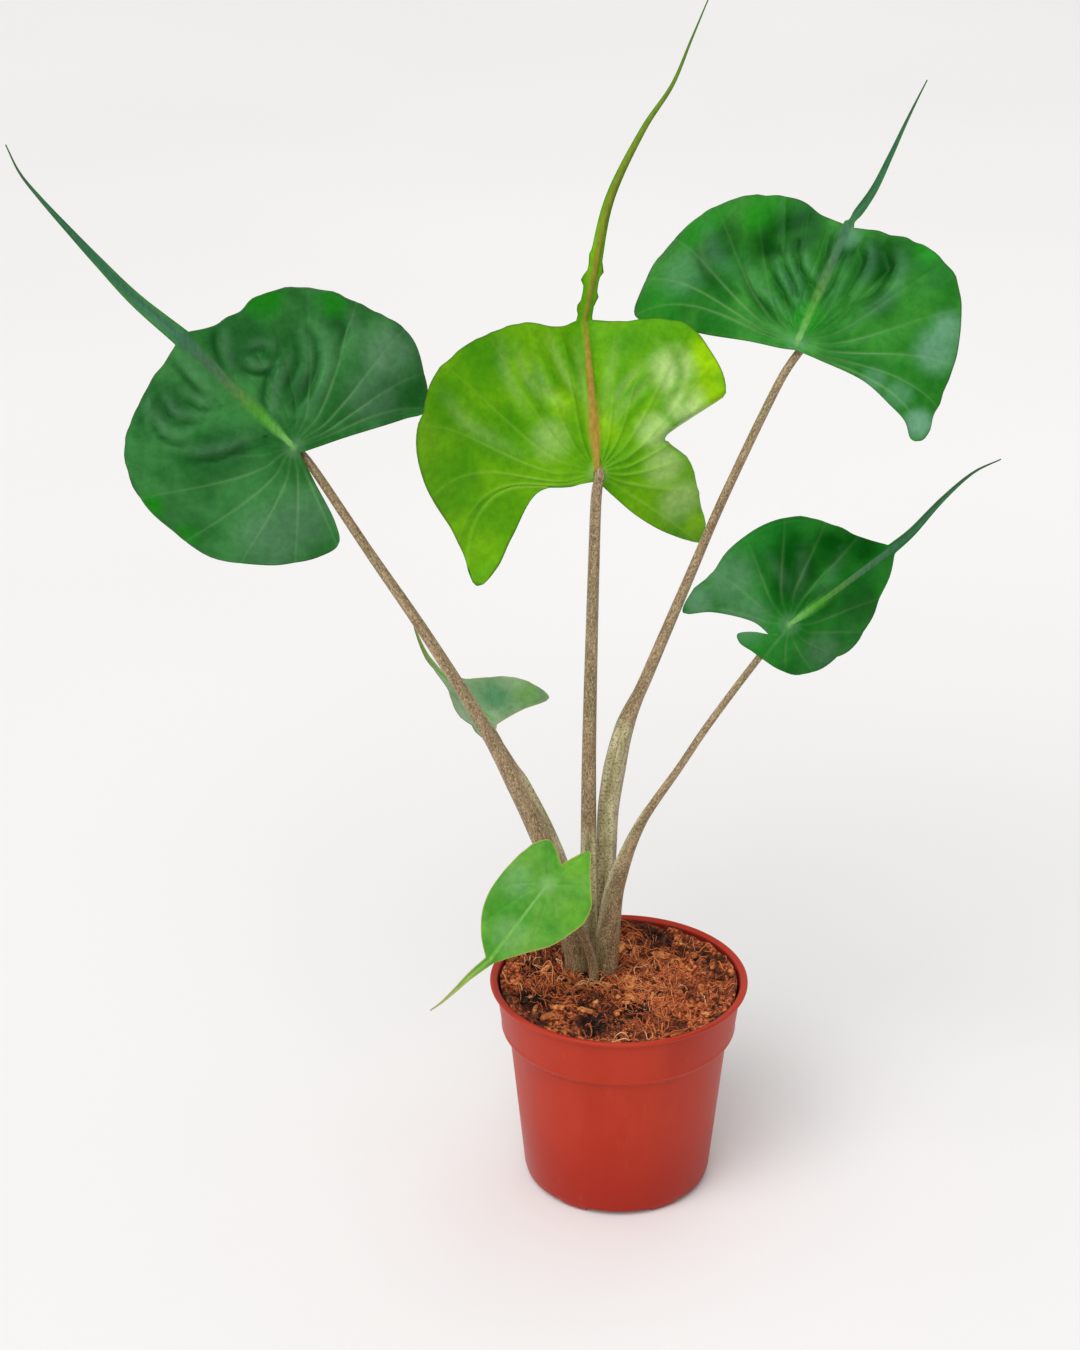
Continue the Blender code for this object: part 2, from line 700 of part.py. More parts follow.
# One entry a leaf. Margin stations are (degrees from the tail, reach from the joint); each
# half is its front stations, its lobe's tip and its rear stations. Bends are (degrees from
# the tail, slope at the hub, slope gained 50 mm out), upward positive. Folds are (first and last
# direction, where they start from the joint at each, turn, length over which they turn). Girth is
# (fraction of the petiole, radius).
LEAVES = {
    "left": {
        "joint": (-143.7, 15.0, 360.4), "tip": (-0.71, 0.15, 0.69), "face": (0.11, -0.94, 0.32),
        "reach": 67.0, "sinus": 4.5, "tail_half_width": 4.0,
        "right": (((11, 63), (21, 62.5), (33, 67), (50, 70), (70, 72), (90, 76), (107, 70)),
                  (120.5, 63.5), ((122, 51), (125, 25), (135, 11))),
        "left": (((12, 66.5), (22, 68), (38, 72), (52, 74), (70, 70), (95, 63.5), (120, 55), (142, 51.5)),
                 (158, 48.5), ((163, 38), (165, 18))),
        "bend_right": ((0, 0, 4), (35, 8, -8), (75, 2, -24), (118, -6, -16), (180, -4, 0)),
        "bend_left": ((0, 0, 4), (35, 8, -10), (80, 0, -22), (150, -8, -12), (180, -4, 0)),
        "folds": (), "pleat": PLEAT, "ruffle": (2.2, 5, 30),
        "spokes": 12, "rear_spokes": 4, "rings": 5,
        "tail": ((-211, 31, 422), (-226, 37, 436), (-239, 42, 449), (-252, 48, 462), (-261, 53, 472),
                 (-267, 58, 483)), "tail_rings": 9,
        "foot": (-19.0, 13.0), "elbow": 8.0, "sheath": 0.38,
        "stalk": ((-21, 13, 121), (-33, 13, 164), (-55, 14, 213), (-86, 14, 269), (-112, 15, 311),
                  (-136, 17, 350)),
        "girth": ((0, 6.2), (0.2, 5.9), (0.3, 5.6), (0.38, 4.9), (0.45, 3.6), (0.55, 2.9), (0.8, 2.2),
                  (1, 1.9)),
    },
    "centre": {
        "joint": (-11.7, 22.0, 345.2), "tip": (-0.06, 0.37, 0.93), "face": (-0.24, 0.90, -0.37),
        "reach": 68.0, "sinus": 4.5, "tail_half_width": 3.6,
        "right": (((11, 66.5), (21, 72), (31, 76.5), (46, 83), (60, 89), (75, 90), (90, 80), (107, 69.5),
                   (119, 68.5)), (130, 72), ((130, 62), (123, 48), (102, 28), (120, 9))),
        "left": (((13, 68), (23, 72.5), (33, 76), (46, 73), (54, 71), (61, 67), (68, 60), (80, 57),
                  (92, 60), (106, 65), (115, 68)), (122, 67), ((129, 46), (136, 28), (145, 12))),
        "bend_right": ((0, 0, 6), (35, 2, -6), (70, 0, -16), (125, 4, 6), (180, 0, 0)),
        "bend_left": ((0, 0, 6), (35, -6, -8), (62, -14, -8), (95, 2, 12), (124, 14, 14), (180, 0, 0)),
        "folds": ((-60, -114, 24, 54, 120, 11),), "pleat": PLEAT, "ruffle": (2.0, 6, 100),
        "spokes": 12, "rear_spokes": 5, "rings": 5,
        "tail": ((-13, 51, 429), (-6.5, 57, 459), (7.5, 62, 488), (20, 65, 507), (28, 68, 526), (35, 70, 543)),
        "tail_rings": 9,
        "foot": (-13.5, 27.0), "elbow": 9.0, "sheath": 0.3,
        "stalk": ((-13.7, 27, 130), (-14, 27, 156), (-14.2, 26, 204), (-13.5, 25, 259), (-12.7, 23, 304),
                  (-12, 20, 334)),
        "girth": ((0, 4.2), (0.2, 4.0), (0.45, 3.3), (0.7, 2.8), (0.95, 2.4), (1, 2.0)),
    },
    "right_upper": {
        "joint": (74.7, 30.0, 402.8), "tip": (0.41, 0.44, 0.80), "face": (-0.35, -0.73, 0.59),
        "reach": 56.0, "sinus": 4.5, "tail_half_width": 2.4,
        "right": (((14, 60), (26, 65), (38, 71), (52, 74), (70, 70), (87, 67), (100, 68.5)),
                  (108, 69.5), ((107, 62), (106, 42), (108, 24), (125, 9))),
        "left": (((13, 58), (22, 64), (32, 68.5), (45, 77.5), (60, 88), (75, 92), (88, 87)),
                 (97, 84), ((99, 66), (102, 44), (106, 22), (125, 8))),
        "bend_right": ((0, 0, 4), (35, 6, -6), (75, 0, -18), (109, -6, -12), (180, -2, 0)),
        "bend_left": ((0, 0, 4), (35, 6, -6), (75, 2, -14), (100, -2, -10), (180, -2, 0)),
        "folds": (), "pleat": PLEAT, "ruffle": (2.2, 5, 200),
        "spokes": 12, "rear_spokes": 4, "rings": 5,
        "tail": ((108, 62, 461), (116, 70, 475), (122, 75, 487), (127, 80, 496), (132, 84, 505)),
        "tail_rings": 7,
        "foot": (-6.0, 36.0), "elbow": 7.0, "sheath": 0.4,
        "stalk": ((-6.2, 34, 126), (-5.5, 32, 154), (-4.5, 30, 181), (1.5, 27, 218), (12, 25, 247), (30, 23, 296),
                  (45, 24, 335), (67, 29, 384)),
        "girth": ((0, 5.0), (0.2, 4.7), (0.34, 5.2), (0.41, 4.3), (0.46, 2.9), (0.7, 2.1), (1, 1.8)),
    },
    "right_lower": {
        "joint": (69.5, -40.0, 300.0), "tip": (0.80, 0.18, 0.57), "face": (-0.08, -0.91, 0.40),
        "reach": 54.0, "sinus": 9.0, "tail_half_width": 2.4,
        "right": (((11, 48), (22, 41), (40, 36.5), (62, 34), (88, 28.5), (115, 24.5), (142, 20)),
                  (163, 20), ((172, 14),)),
        "left": (((15, 48), (33, 46.5), (50, 46.5), (68, 44), (88, 41.5), (110, 40), (124, 44)),
                 (137, 46), ((134, 33), (140, 16))),
        "bend_right": ((0, 0, -4), (30, -22, -8), (70, -42, -14), (110, -32, -10), (142, -10, -6), (180, 0, 0)),
        "bend_left": ((0, 0, -4), (35, 6, -4), (80, 8, -16), (137, -4, -10), (180, -4, 0)),
        "folds": (), "pleat": 0.7 * PLEAT, "ruffle": (1.2, 5, 20),
        "spokes": 10, "rear_spokes": 4, "rings": 4,
        "tail": ((122, -23, 336), (135, -18, 349), (148, -13, 359), (160, -10, 364)), "tail_rings": 7,
        "foot": (-5.3, 11.0), "elbow": 6.0, "sheath": 0.46,
        "stalk": ((-5, 11, 112), (-4, 9, 129), (-1, 5, 152), (9, -4, 186), (26, -15, 221), (38, -23, 246),
                  (59, -34, 284)),
        "girth": ((0, 5.3), (0.15, 5.3), (0.3, 3.9), (0.37, 2.9), (0.45, 2.1), (0.6, 1.7), (1, 1.5)),
    },
    "small_back": {
        "joint": (-59.5, 47.5, 214.3), "tip": (-0.75, 0.35, 0.56), "face": (0.26, -0.63, 0.73),
        "reach": 33.0, "sinus": 3.8, "tail_half_width": 2.0,
        "right": (((14, 24), (32, 21.5), (52, 22.5), (75, 26), (92, 30)),
                  (112, 34), ((116, 18), (125, 10))),
        "left": (((14, 25), (32, 24), (55, 24), (80, 24.5), (100, 25)),
                 (120, 25), ((128, 16), (140, 9))),
        "bend_right": ((0, 0, 6), (40, -4, -10), (112, -6, -16), (180, 0, 0)),
        "bend_left": ((0, 0, 6), (30, 32, 4), (80, 55, 0), (120, 48, 0), (180, 4, 0)),
        "folds": (), "pleat": 0.4 * PLEAT, "ruffle": (1.0, 5, 0),
        "spokes": 8, "rear_spokes": 3, "rings": 4,
        "tail": ((-89.5, 61, 240.5), (-94, 64, 250.5), (-96.5, 67, 259.5)), "tail_rings": 4,
        "foot": (-24.0, 26.5), "elbow": 5.0, "sheath": 0.4,
        "stalk": ((-26, 28, 120), (-34, 34, 147.5), (-46, 41, 180.5), (-55, 45.5, 202)),
        "girth": ((0, 2.6), (0.3, 2.3), (0.6, 1.7), (1, 1.35)),
    },
    "small_front": {
        "joint": (-33.6, -30.0, 168.7), "tip": (-0.60, -0.23, -0.77), "face": (-0.10, -0.93, 0.36),
        "reach": 43.0, "sinus": 11.5, "tail_half_width": 2.2,
        "right": (((14, 38), (28, 32.5), (46, 26), (70, 20.5), (100, 18.5), (125, 19.5)),
                  (145, 20.5), ((158, 16.5), (170, 13))),
        "left": (((12, 36), (25, 31), (48, 26), (75, 24), (100, 22.5), (125, 19.5), (148, 21)),
                 (166, 24.5), ((174, 17),)),
        "bend_right": ((0, 0, 0), (45, 4, -14), (145, 2, -12), (180, 0, 0)),
        "bend_left": ((0, 0, 0), (45, 4, -10), (166, 2, -14), (180, 0, 0)),
        "folds": (), "pleat": 0.25 * PLEAT, "ruffle": (0.8, 5, 60),
        "spokes": 8, "rear_spokes": 3, "rings": 4,
        "tail": ((-68, -42, 129), (-75, -45, 123), (-81, -48, 118.5), (-86, -50, 115.5)), "tail_rings": 5,
        "foot": (-11.5, 2.5), "elbow": 6.0, "sheath": 0.35,
        "stalk": ((-14, 1, 118), (-19, -4, 133), (-25, -14, 151)),
        "girth": ((0, 2.4), (0.3, 2.3), (0.7, 1.7), (1, 1.3)),
    },
}

BLADE_COLOURS = {
    "left": (38, 104, 58),
    "centre": (104, 168, 28),
    "right_upper": (36, 112, 52),
    "right_lower": (26, 92, 42),
    "small_back": (112, 158, 102),
    "small_front": (104, 164, 66),
}


def clear_scene():
    for obj in list(bpy.context.scene.objects):
        bpy.data.objects.remove(obj)


def main():
    clear_scene()
    make_pot()
    make_soil_and_corm()
    for name, leaf in LEAVES.items():
        make_petiole(f"petiole_{name}", leaf, material(f"petiole_{name}", (140, 108, 76), 0.6))
        make_blade(f"blade_{name}", leaf, material(f"blade_{name}", BLADE_COLOURS[name], 0.35))


main()
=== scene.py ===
"""Looks of the potted giant taro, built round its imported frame.

Lengths are in millimetres until a mesh is made, where MM turns them into metres.
"""
import json
import math
import random

import bpy
import numpy as np
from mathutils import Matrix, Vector, noise

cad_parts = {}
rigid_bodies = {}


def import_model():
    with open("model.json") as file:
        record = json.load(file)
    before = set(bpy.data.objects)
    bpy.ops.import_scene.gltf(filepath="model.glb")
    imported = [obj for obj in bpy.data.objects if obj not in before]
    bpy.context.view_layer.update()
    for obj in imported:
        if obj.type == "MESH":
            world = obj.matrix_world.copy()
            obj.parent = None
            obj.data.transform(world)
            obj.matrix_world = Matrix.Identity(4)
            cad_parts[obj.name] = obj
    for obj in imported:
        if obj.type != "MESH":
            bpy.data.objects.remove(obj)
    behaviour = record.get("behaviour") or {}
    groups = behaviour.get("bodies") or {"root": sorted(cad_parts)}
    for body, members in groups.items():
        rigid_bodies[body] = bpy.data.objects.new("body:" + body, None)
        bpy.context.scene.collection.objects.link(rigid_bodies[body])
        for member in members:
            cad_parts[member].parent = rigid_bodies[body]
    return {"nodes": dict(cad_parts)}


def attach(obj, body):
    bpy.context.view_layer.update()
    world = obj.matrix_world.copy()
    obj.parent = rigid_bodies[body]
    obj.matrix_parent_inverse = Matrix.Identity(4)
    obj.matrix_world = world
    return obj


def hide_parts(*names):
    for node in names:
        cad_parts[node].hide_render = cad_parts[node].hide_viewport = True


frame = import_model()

MM = 0.001
UP = np.array((0.0, 0.0, 1.0))
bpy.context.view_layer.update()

# The photograph's camera, from its 1080 by 1350 frame
CAMERA_TARGET = (-36.7, 0.0, 258.3)
CAMERA_DISTANCE = 1333.0
CAMERA_PITCH = 24.5
CAMERA_LENS = 80.0
CAMERA_SENSOR = 36.0

# Light
SKY_STRENGTH = 0.58
SUN_STRENGTH = 1.7
SUN_SPREAD = 50.0
SUN_TURN = (34.0, -24.0)
LIT_PLACE = (-0.03, 0.0, 0.32)
FLOOR_REACH = 9.0

# Blades
BLADE_THICKNESS = 0.6
EDGE_THICKNESS = 0.36
EDGE_WIDTH = 2.0        # the blade is thin this near its margin
HUB_RADIUS = 2.2
HUB_RIB = 0.8           # half width of the midrib where it leaves the joint
FAN_START = 21.0        # degrees from the midrib at which the fan of side veins leaves the joint
ROWS = 80               # rows of points from the joint to the margin
RIB_COLUMNS = (0.0, 0.2, 0.4, 0.6, 0.8, 1.0)
SECTOR_STEPS = (0.0, 0.045, 0.11, 0.21, 0.34, 0.48, 0.62, 0.76, 0.88, 0.955)
REAR_COLUMNS = 14
SINUS_ROW = 1.15        # length of the rows that both halves share behind the joint
MARGIN_STEPS = 24
WALK_STEPS = 36
FAR = 99.0              # stands for no vein or margin near
KEEL_LIMIT = 1.15
TAIL_ROWS = 64
TAIL_TIP = 0.22         # half width of a tail at its very end
TAIL_TAPER = 1.25

# Petioles
PETIOLE_SIDES = 32
PETIOLE_STEP = 1.6
SOCKET_FLOOR = 82.0
COLLAR_TOP = 104.0
UNDER_JOINT = 1.25      # depth of a stalk's end under the blade's middle surface

# Pot, the same sizes as the frame's
POT_HEIGHT = 104.0
POT_BAND_TOP_RADIUS = 57.0
POT_BAND_FOOT_RADIUS = 54.4
POT_BAND_DEPTH = 25.0
POT_STEP_DEPTH = 28.0
POT_STEP_RADIUS = 51.0
POT_BODY_FOOT_RADIUS = 44.0
POT_WALL = 1.15
POT_FLOOR = 1.4
POT_SIDES = 180
FOOT_COUNT = 6
DRAIN_CIRCLE = 37.6
DRAIN_RADIUS = 2.4

# Potting mix. Damp patches are (x, y, radius), char spots (x, y, spread, count).
SOIL_LEVEL = 98.3
SOIL_EDGE = 54.5
MIX_SIDES = 200
CORM_CENTRE = (-12.0, 19.0)
DAMP_PATCHES = ((-12, -37, 9.5), (6, -24, 7.0), (-40, -14, 8.5), (18, 44, 7.0), (-18, -20, 5.0))
CHAR_SPOTS = ((-10, -38, 6, 26), (8, -27, 4, 16), (-36, -16, 6, 22), (0, 0, 26, 50))
LARGE_CHIP = (5.0, -2.5)
TUFT_COUNT = 125
FOOT_TUFTS = 18         # of the tufts, those that lie round the stalks' feet
CRUMB_COUNT = 900
CHIP_COUNT = 46


def unit(vector):
    vector = np.asarray(vector, float)
    return vector / np.linalg.norm(vector)


def smooth_path(points, per_span):
    """Catmull-Rom curve through the points, with per_span steps between neighbours."""
    points = np.asarray(points, float)
    padded = np.vstack([2 * points[0] - points[1], points, 2 * points[-1] - points[-2]])
    samples = []
    for i in range(1, len(padded) - 2):
        p0, p1, p2, p3 = padded[i - 1:i + 3]
        for step in range(per_span):
            t = step / per_span
            samples.append(0.5 * (2 * p1 + (p2 - p0) * t + (2 * p0 - 5 * p1 + 4 * p2 - p3) * t ** 2
                                  + (3 * p1 - p0 - 3 * p2 + p3) * t ** 3))
    samples.append(points[-1])
    return np.array(samples)


def lengths_along(path):
    steps = np.linalg.norm(np.diff(path, axis=0), axis=1)
    return np.concatenate([[0.0], np.cumsum(steps)])


def evenly(path, count):
    """The path read at count points an equal distance apart."""
    along = lengths_along(path)
    wanted = np.linspace(0.0, along[-1], count)
    return np.stack([np.interp(wanted, along, path[:, k]) for k in range(path.shape[1])], axis=1)


def read_stations(stations, position):
    places, values = zip(*stations)
    return np.interp(position, places, values)


def ease(value):
    value = np.clip(value, 0.0, 1.0)
    return value * value * (3 - 2 * value)


def srgb(*channels):
    """Linear colour from 0-255 sRGB values."""
    def linear(channel):
        channel /= 255
        return channel / 12.92 if channel <= 0.04045 else ((channel + 0.055) / 1.055) ** 2.4
    return (*[linear(c) for c in channels], 1.0)


def noise_at(points, scale, seed):
    """Smooth noise from -1 to 1 at each point."""
    shift = Vector((seed * 7.31, seed * 3.17, seed * 5.77))
    return np.array([noise.noise(Vector(p) * scale + shift) for p in points])


def make_piece(name, points, faces, materials, replaced=(), face_materials=None, values=None,
               sharp_degrees=None):
    """Smooth-shaded piece of the object from points in millimetres, riding on the only body."""
    mesh = bpy.data.meshes.new(name)
    mesh.from_pydata(np.asarray(points, float) * MM, [], [tuple(int(i) for i in f) for f in faces])
    for mat in materials:
        mesh.materials.append(mat)
    if face_materials is not None:
        mesh.polygons.foreach_set("material_index", np.asarray(face_materials, np.int32))
    for key, value in (values or {}).items():
        layer = mesh.attributes.new(key, "FLOAT", "POINT")
        layer.data.foreach_set("value", np.asarray(value, np.float32))
    mesh.shade_smooth()
    if sharp_degrees:
        mesh.set_sharp_from_angle(angle=math.radians(sharp_degrees))
    obj = bpy.data.objects.new(name, mesh)
    bpy.context.scene.collection.objects.link(obj)
    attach(obj, "root")
    if replaced:
        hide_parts(*replaced)
    return obj


def tube_faces(rings, sides):
    """Faces of a closed tube whose rings of points follow one another."""
    faces = []
    for low in range(0, (rings - 1) * sides, sides):
        for k in range(sides):
            turn = (k + 1) % sides
            faces.append((low + k, low + turn, low + sides + turn, low + sides + k))
    last = (rings - 1) * sides
    return faces + [tuple(reversed(range(sides))), tuple(range(last, last + sides))]


# Node materials

class Nodes:
    """Small builder for one node material."""

    def __init__(self, name):
        self.material = bpy.data.materials.new(name)
        self.material.use_nodes = True
        self.tree = self.material.node_tree
        self.shader = self.tree.nodes["Principled BSDF"]

    def add(self, kind, **settings):
        node = self.tree.nodes.new(kind)
        for key, value in settings.items():
            setattr(node, key, value)
        return node

    def link(self, source, target):
        self.tree.links.new(source, target)

    def put(self, value, socket):
        """A number, colour or output goes into a socket."""
        if isinstance(value, bpy.types.NodeSocket):
            self.link(value, socket)
        else:
            socket.default_value = value

    def attribute(self, name):
        return self.add("ShaderNodeAttribute", attribute_name=name).outputs["Fac"]

    def position(self, scale=1.0, stretch=(1.0, 1.0, 1.0)):
        """Place on the object in millimetres over scale."""
        place = self.add("ShaderNodeTexCoord").outputs["Object"]
        mapping = self.add("ShaderNodeMapping")
        self.link(place, mapping.inputs["Vector"])
        mapping.inputs["Scale"].default_value = [s / (MM * scale) for s in stretch]
        return mapping.outputs["Vector"]

    def noise(self, vector, detail=3.0, rough=0.55):
        node = self.add("ShaderNodeTexNoise")
        self.link(vector, node.inputs["Vector"])
        node.inputs["Scale"].default_value = 1.0
        node.inputs["Detail"].default_value = detail
        node.inputs["Roughness"].default_value = rough
        return node.outputs["Fac"]

    def cell_edges(self, vector):
        """Distance to the edges of a net of cells."""
        node = self.add("ShaderNodeTexVoronoi", feature="DISTANCE_TO_EDGE")
        self.link(vector, node.inputs["Vector"])
        node.inputs["Scale"].default_value = 1.0
        return node.outputs["Distance"]

    def levels(self, value, low, high, to_low=0.0, to_high=1.0):
        """The value moved from low..high to to_low..to_high, smoothly and clamped."""
        node = self.add("ShaderNodeMapRange", interpolation_type="SMOOTHSTEP")
        self.put(value, node.inputs["Value"])
        limits = {"From Min": low, "From Max": high, "To Min": to_low, "To Max": to_high}
        for key, number in limits.items():
            node.inputs[key].default_value = number
        return node.outputs["Result"]

    def math(self, operation, first, second):
        node = self.add("ShaderNodeMath", operation=operation)
        self.put(first, node.inputs[0])
        self.put(second, node.inputs[1])
        return node.outputs[0]

    def mix(self, factor, first, second, blend="MIX"):
        node = self.add("ShaderNodeMix", data_type="RGBA", blend_type=blend)
        self.put(factor, node.inputs[0])
        self.put(first, node.inputs[6])
        self.put(second, node.inputs[7])
        return node.outputs[2]

    def ramp(self, value, stops):
        node = self.add("ShaderNodeValToRGB")
        self.put(value, node.inputs["Fac"])
        elements = node.color_ramp.elements
        while len(elements) < len(stops):
            elements.new(0.5)
        for element, (place, colour) in zip(elements, stops):
            element.position = place
            element.color = colour
        return node.outputs["Color"]

    def bump(self, height, distance, strength, normal=None):
        node = self.add("ShaderNodeBump")
        self.put(height, node.inputs["Height"])
        node.inputs["Distance"].default_value = distance * MM
        node.inputs["Strength"].default_value = strength
        if normal is not None:
            self.link(normal, node.inputs["Normal"])
        return node.outputs["Normal"]

    def finish(self, colour, roughness, normal=None, **settings):
        self.put(colour, self.shader.inputs["Base Color"])
        self.put(roughness, self.shader.inputs["Roughness"])
        if normal is not None:
            self.link(normal, self.shader.inputs["Normal"])
        for key, value in settings.items():
            self.shader.inputs[key].default_value = value
        return self.material


def blade_material(name, look, gloss):
    """Leaf surface. Its masks are the blade's own values: rib, vein, along, edge, bright, the pale
    mask with its pale tone and painted sheen and highlights, and the dark mask of painted shade."""
    n = Nodes(name)
    broad = n.levels(n.noise(n.position(24.0), 2.0), 0.35, 0.65)
    colour = n.mix(broad, look["deep"], look["mid"])
    # Painted shade: the dark mask darkens crease valleys and shaded hollows.
    colour = n.mix(n.attribute("dark_and_shade"), colour, look["dark_and_shade"])
    colour = n.mix(n.attribute("bright"), colour, look["bright"])
    # Painted sheen and highlights, with some pale tone of the leaf's own, from the pale mask.
    colour = n.mix(n.attribute("pale_and_sheen"), colour, look["pale_and_sheen"])
    mottle = n.levels(n.noise(n.position(3.2), 4.0, 0.6), 0.25, 0.75, 0.86, 1.12)
    colour = n.mix(1.0, colour, mottle, "MULTIPLY")
    vein = n.math("MULTIPLY", n.attribute("vein"), look["vein_strength"])
    colour = n.mix(vein, colour, look["vein"])
    rib = n.ramp(n.attribute("along"), look["rib"])
    streaks = n.levels(n.noise(n.position(1.6, (1.0, 1.0, 0.35)), 3.0), 0.3, 0.7, 0.85, 1.12)
    rib = n.mix(1.0, rib, streaks, "MULTIPLY")
    colour = n.mix(n.attribute("rib"), colour, rib)
    edge = n.math("MULTIPLY", n.attribute("edge"), look["edge_strength"])
    colour = n.mix(edge, colour, look["edge"])
    rough = n.levels(n.noise(n.position(9.0), 3.0), 0.3, 0.7, gloss, gloss + 0.12)
    fine = n.noise(n.position(0.9), 3.0)
    net = n.cell_edges(n.position(2.4))
    normal = n.bump(n.levels(net, 0.0, 0.12), 0.035, 0.6)
    normal = n.bump(fine, 0.05, 0.5, normal)
    return n.finish(colour, rough, normal, **look["shader"])


def petiole_material():
    """Brown stalk with fine dark speckles, paler and greener on its sheath."""
    n = Nodes("petiole_skin")
    along = n.attribute("along_mm")
    around = n.attribute("around_mm")
    sheath = n.attribute("sheath")

    def place(long_scale, round_scale):
        node = n.add("ShaderNodeCombineXYZ")
        n.put(n.math("DIVIDE", along, long_scale), node.inputs[0])
        n.put(n.math("DIVIDE", around, round_scale), node.inputs[1])
        return node.outputs[0]

    streak = n.levels(n.noise(place(12.0, 3.0), 3.0), 0.35, 0.65)
    base = n.mix(streak, srgb(138, 110, 78), srgb(172, 146, 110))
    sheath_base = n.mix(streak, srgb(178, 168, 122), srgb(218, 210, 166))
    colour = n.mix(sheath, base, sheath_base)
    green = n.levels(n.noise(place(38.0, 6.0), 2.0), 0.45, 0.65, 0.0, 0.5)
    colour = n.mix(green, colour, srgb(118, 112, 68))
    speckle = n.levels(n.noise(place(1.15, 0.85), 2.0, 0.6), 0.5, 0.58)
    colour = n.mix(n.math("MULTIPLY", speckle, 0.62), colour, srgb(66, 48, 32))
    light = n.levels(n.noise(place(1.8, 0.8), 2.0, 0.6), 0.55, 0.64, 0.0, 0.7)
    colour = n.mix(light, colour, srgb(196, 182, 140))
    ridges = n.noise(place(30.0, 0.55), 2.0)
    normal = n.bump(ridges, 0.09, 0.6)
    return n.finish(colour, 0.46, normal)


def pot_material():
    """Moulded terracotta-coloured plastic with a satin face and faint flow marks."""
    n = Nodes("pot_plastic")
    cloud = n.levels(n.noise(n.position(30.0, (1.0, 1.0, 0.5)), 3.0), 0.3, 0.7)
    colour = n.mix(cloud, srgb(168, 44, 24), srgb(180, 54, 34))
    lower = n.levels(n.attribute("height"), 0.0, 60.0)
    colour = n.mix(n.math("SUBTRACT", 1.0, lower), colour, srgb(160, 36, 20))
    # Painted shade: the pot's inner wall is darker.
    colour = n.mix(n.attribute("inside"), colour, srgb(112, 24, 16))
    grain = n.noise(n.position(0.5), 3.0)
    colour = n.mix(1.0, colour, n.levels(grain, 0.2, 0.8, 0.95, 1.05), "MULTIPLY")
    scuff = n.levels(n.noise(n.position(5.0, (1.0, 1.0, 0.25)), 5.0, 0.7), 0.58, 0.8, 0.0, 0.25)
    colour = n.mix(scuff, colour, srgb(190, 92, 74))
    flow = n.noise(n.position(26.0, (1.0, 1.0, 3.0)), 2.0)
    normal = n.bump(flow, 0.35, 0.35)
    normal = n.bump(grain, 0.03, 0.5, normal)
    rough = n.levels(cloud, 0.0, 1.0, 0.36, 0.46)
    return n.finish(colour, rough, normal,
                    **{"Specular IOR Level": 0.26, "Specular Tint": srgb(255, 205, 190)})


def soil_material(name, dark_and_shade, mid, light, scale, with_damp_and_shade=False):
    """Crumbly brown matter, darker in patches and, where the piece has that value, in damp spots and with
    painted shade in hollows.
    """
    n = Nodes(name)
    grain = n.noise(n.position(scale), 6.0, 0.68)
    colour = n.ramp(n.levels(grain, 0.35, 0.66), ((0.0, dark_and_shade), (0.45, mid), (1.0, light)))
    patches = n.levels(n.noise(n.position(12.0), 2.0), 0.4, 0.55, 0.25, 1.0)
    colour = n.mix(patches, dark_and_shade, colour)
    if with_damp_and_shade:
        # Painted shade in the hollows, and the damp patches, darken the colour here.
        colour = n.mix(n.attribute("damp_and_hollow_shade"), colour, dark_and_shade)
    normal = n.bump(n.noise(n.position(scale * 0.4), 5.0, 0.7), 0.5, 0.8)
    return n.finish(colour, 0.9, normal, **{"Specular IOR Level": 0.2})


def strand_material():
    """Coir strands, each with its own tone."""
    n = Nodes("coir_strand")
    colour = n.ramp(n.attribute("tone"), ((0.0, srgb(70, 28, 16)), (0.4, srgb(196, 96, 46)),
                                          (0.8, srgb(232, 142, 82)), (1.0, srgb(240, 190, 140))))
    grain = n.levels(n.noise(n.position(1.2), 3.0), 0.3, 0.7, 0.8, 1.15)
    colour = n.mix(1.0, colour, grain, "MULTIPLY")
    return n.finish(colour, 0.75)
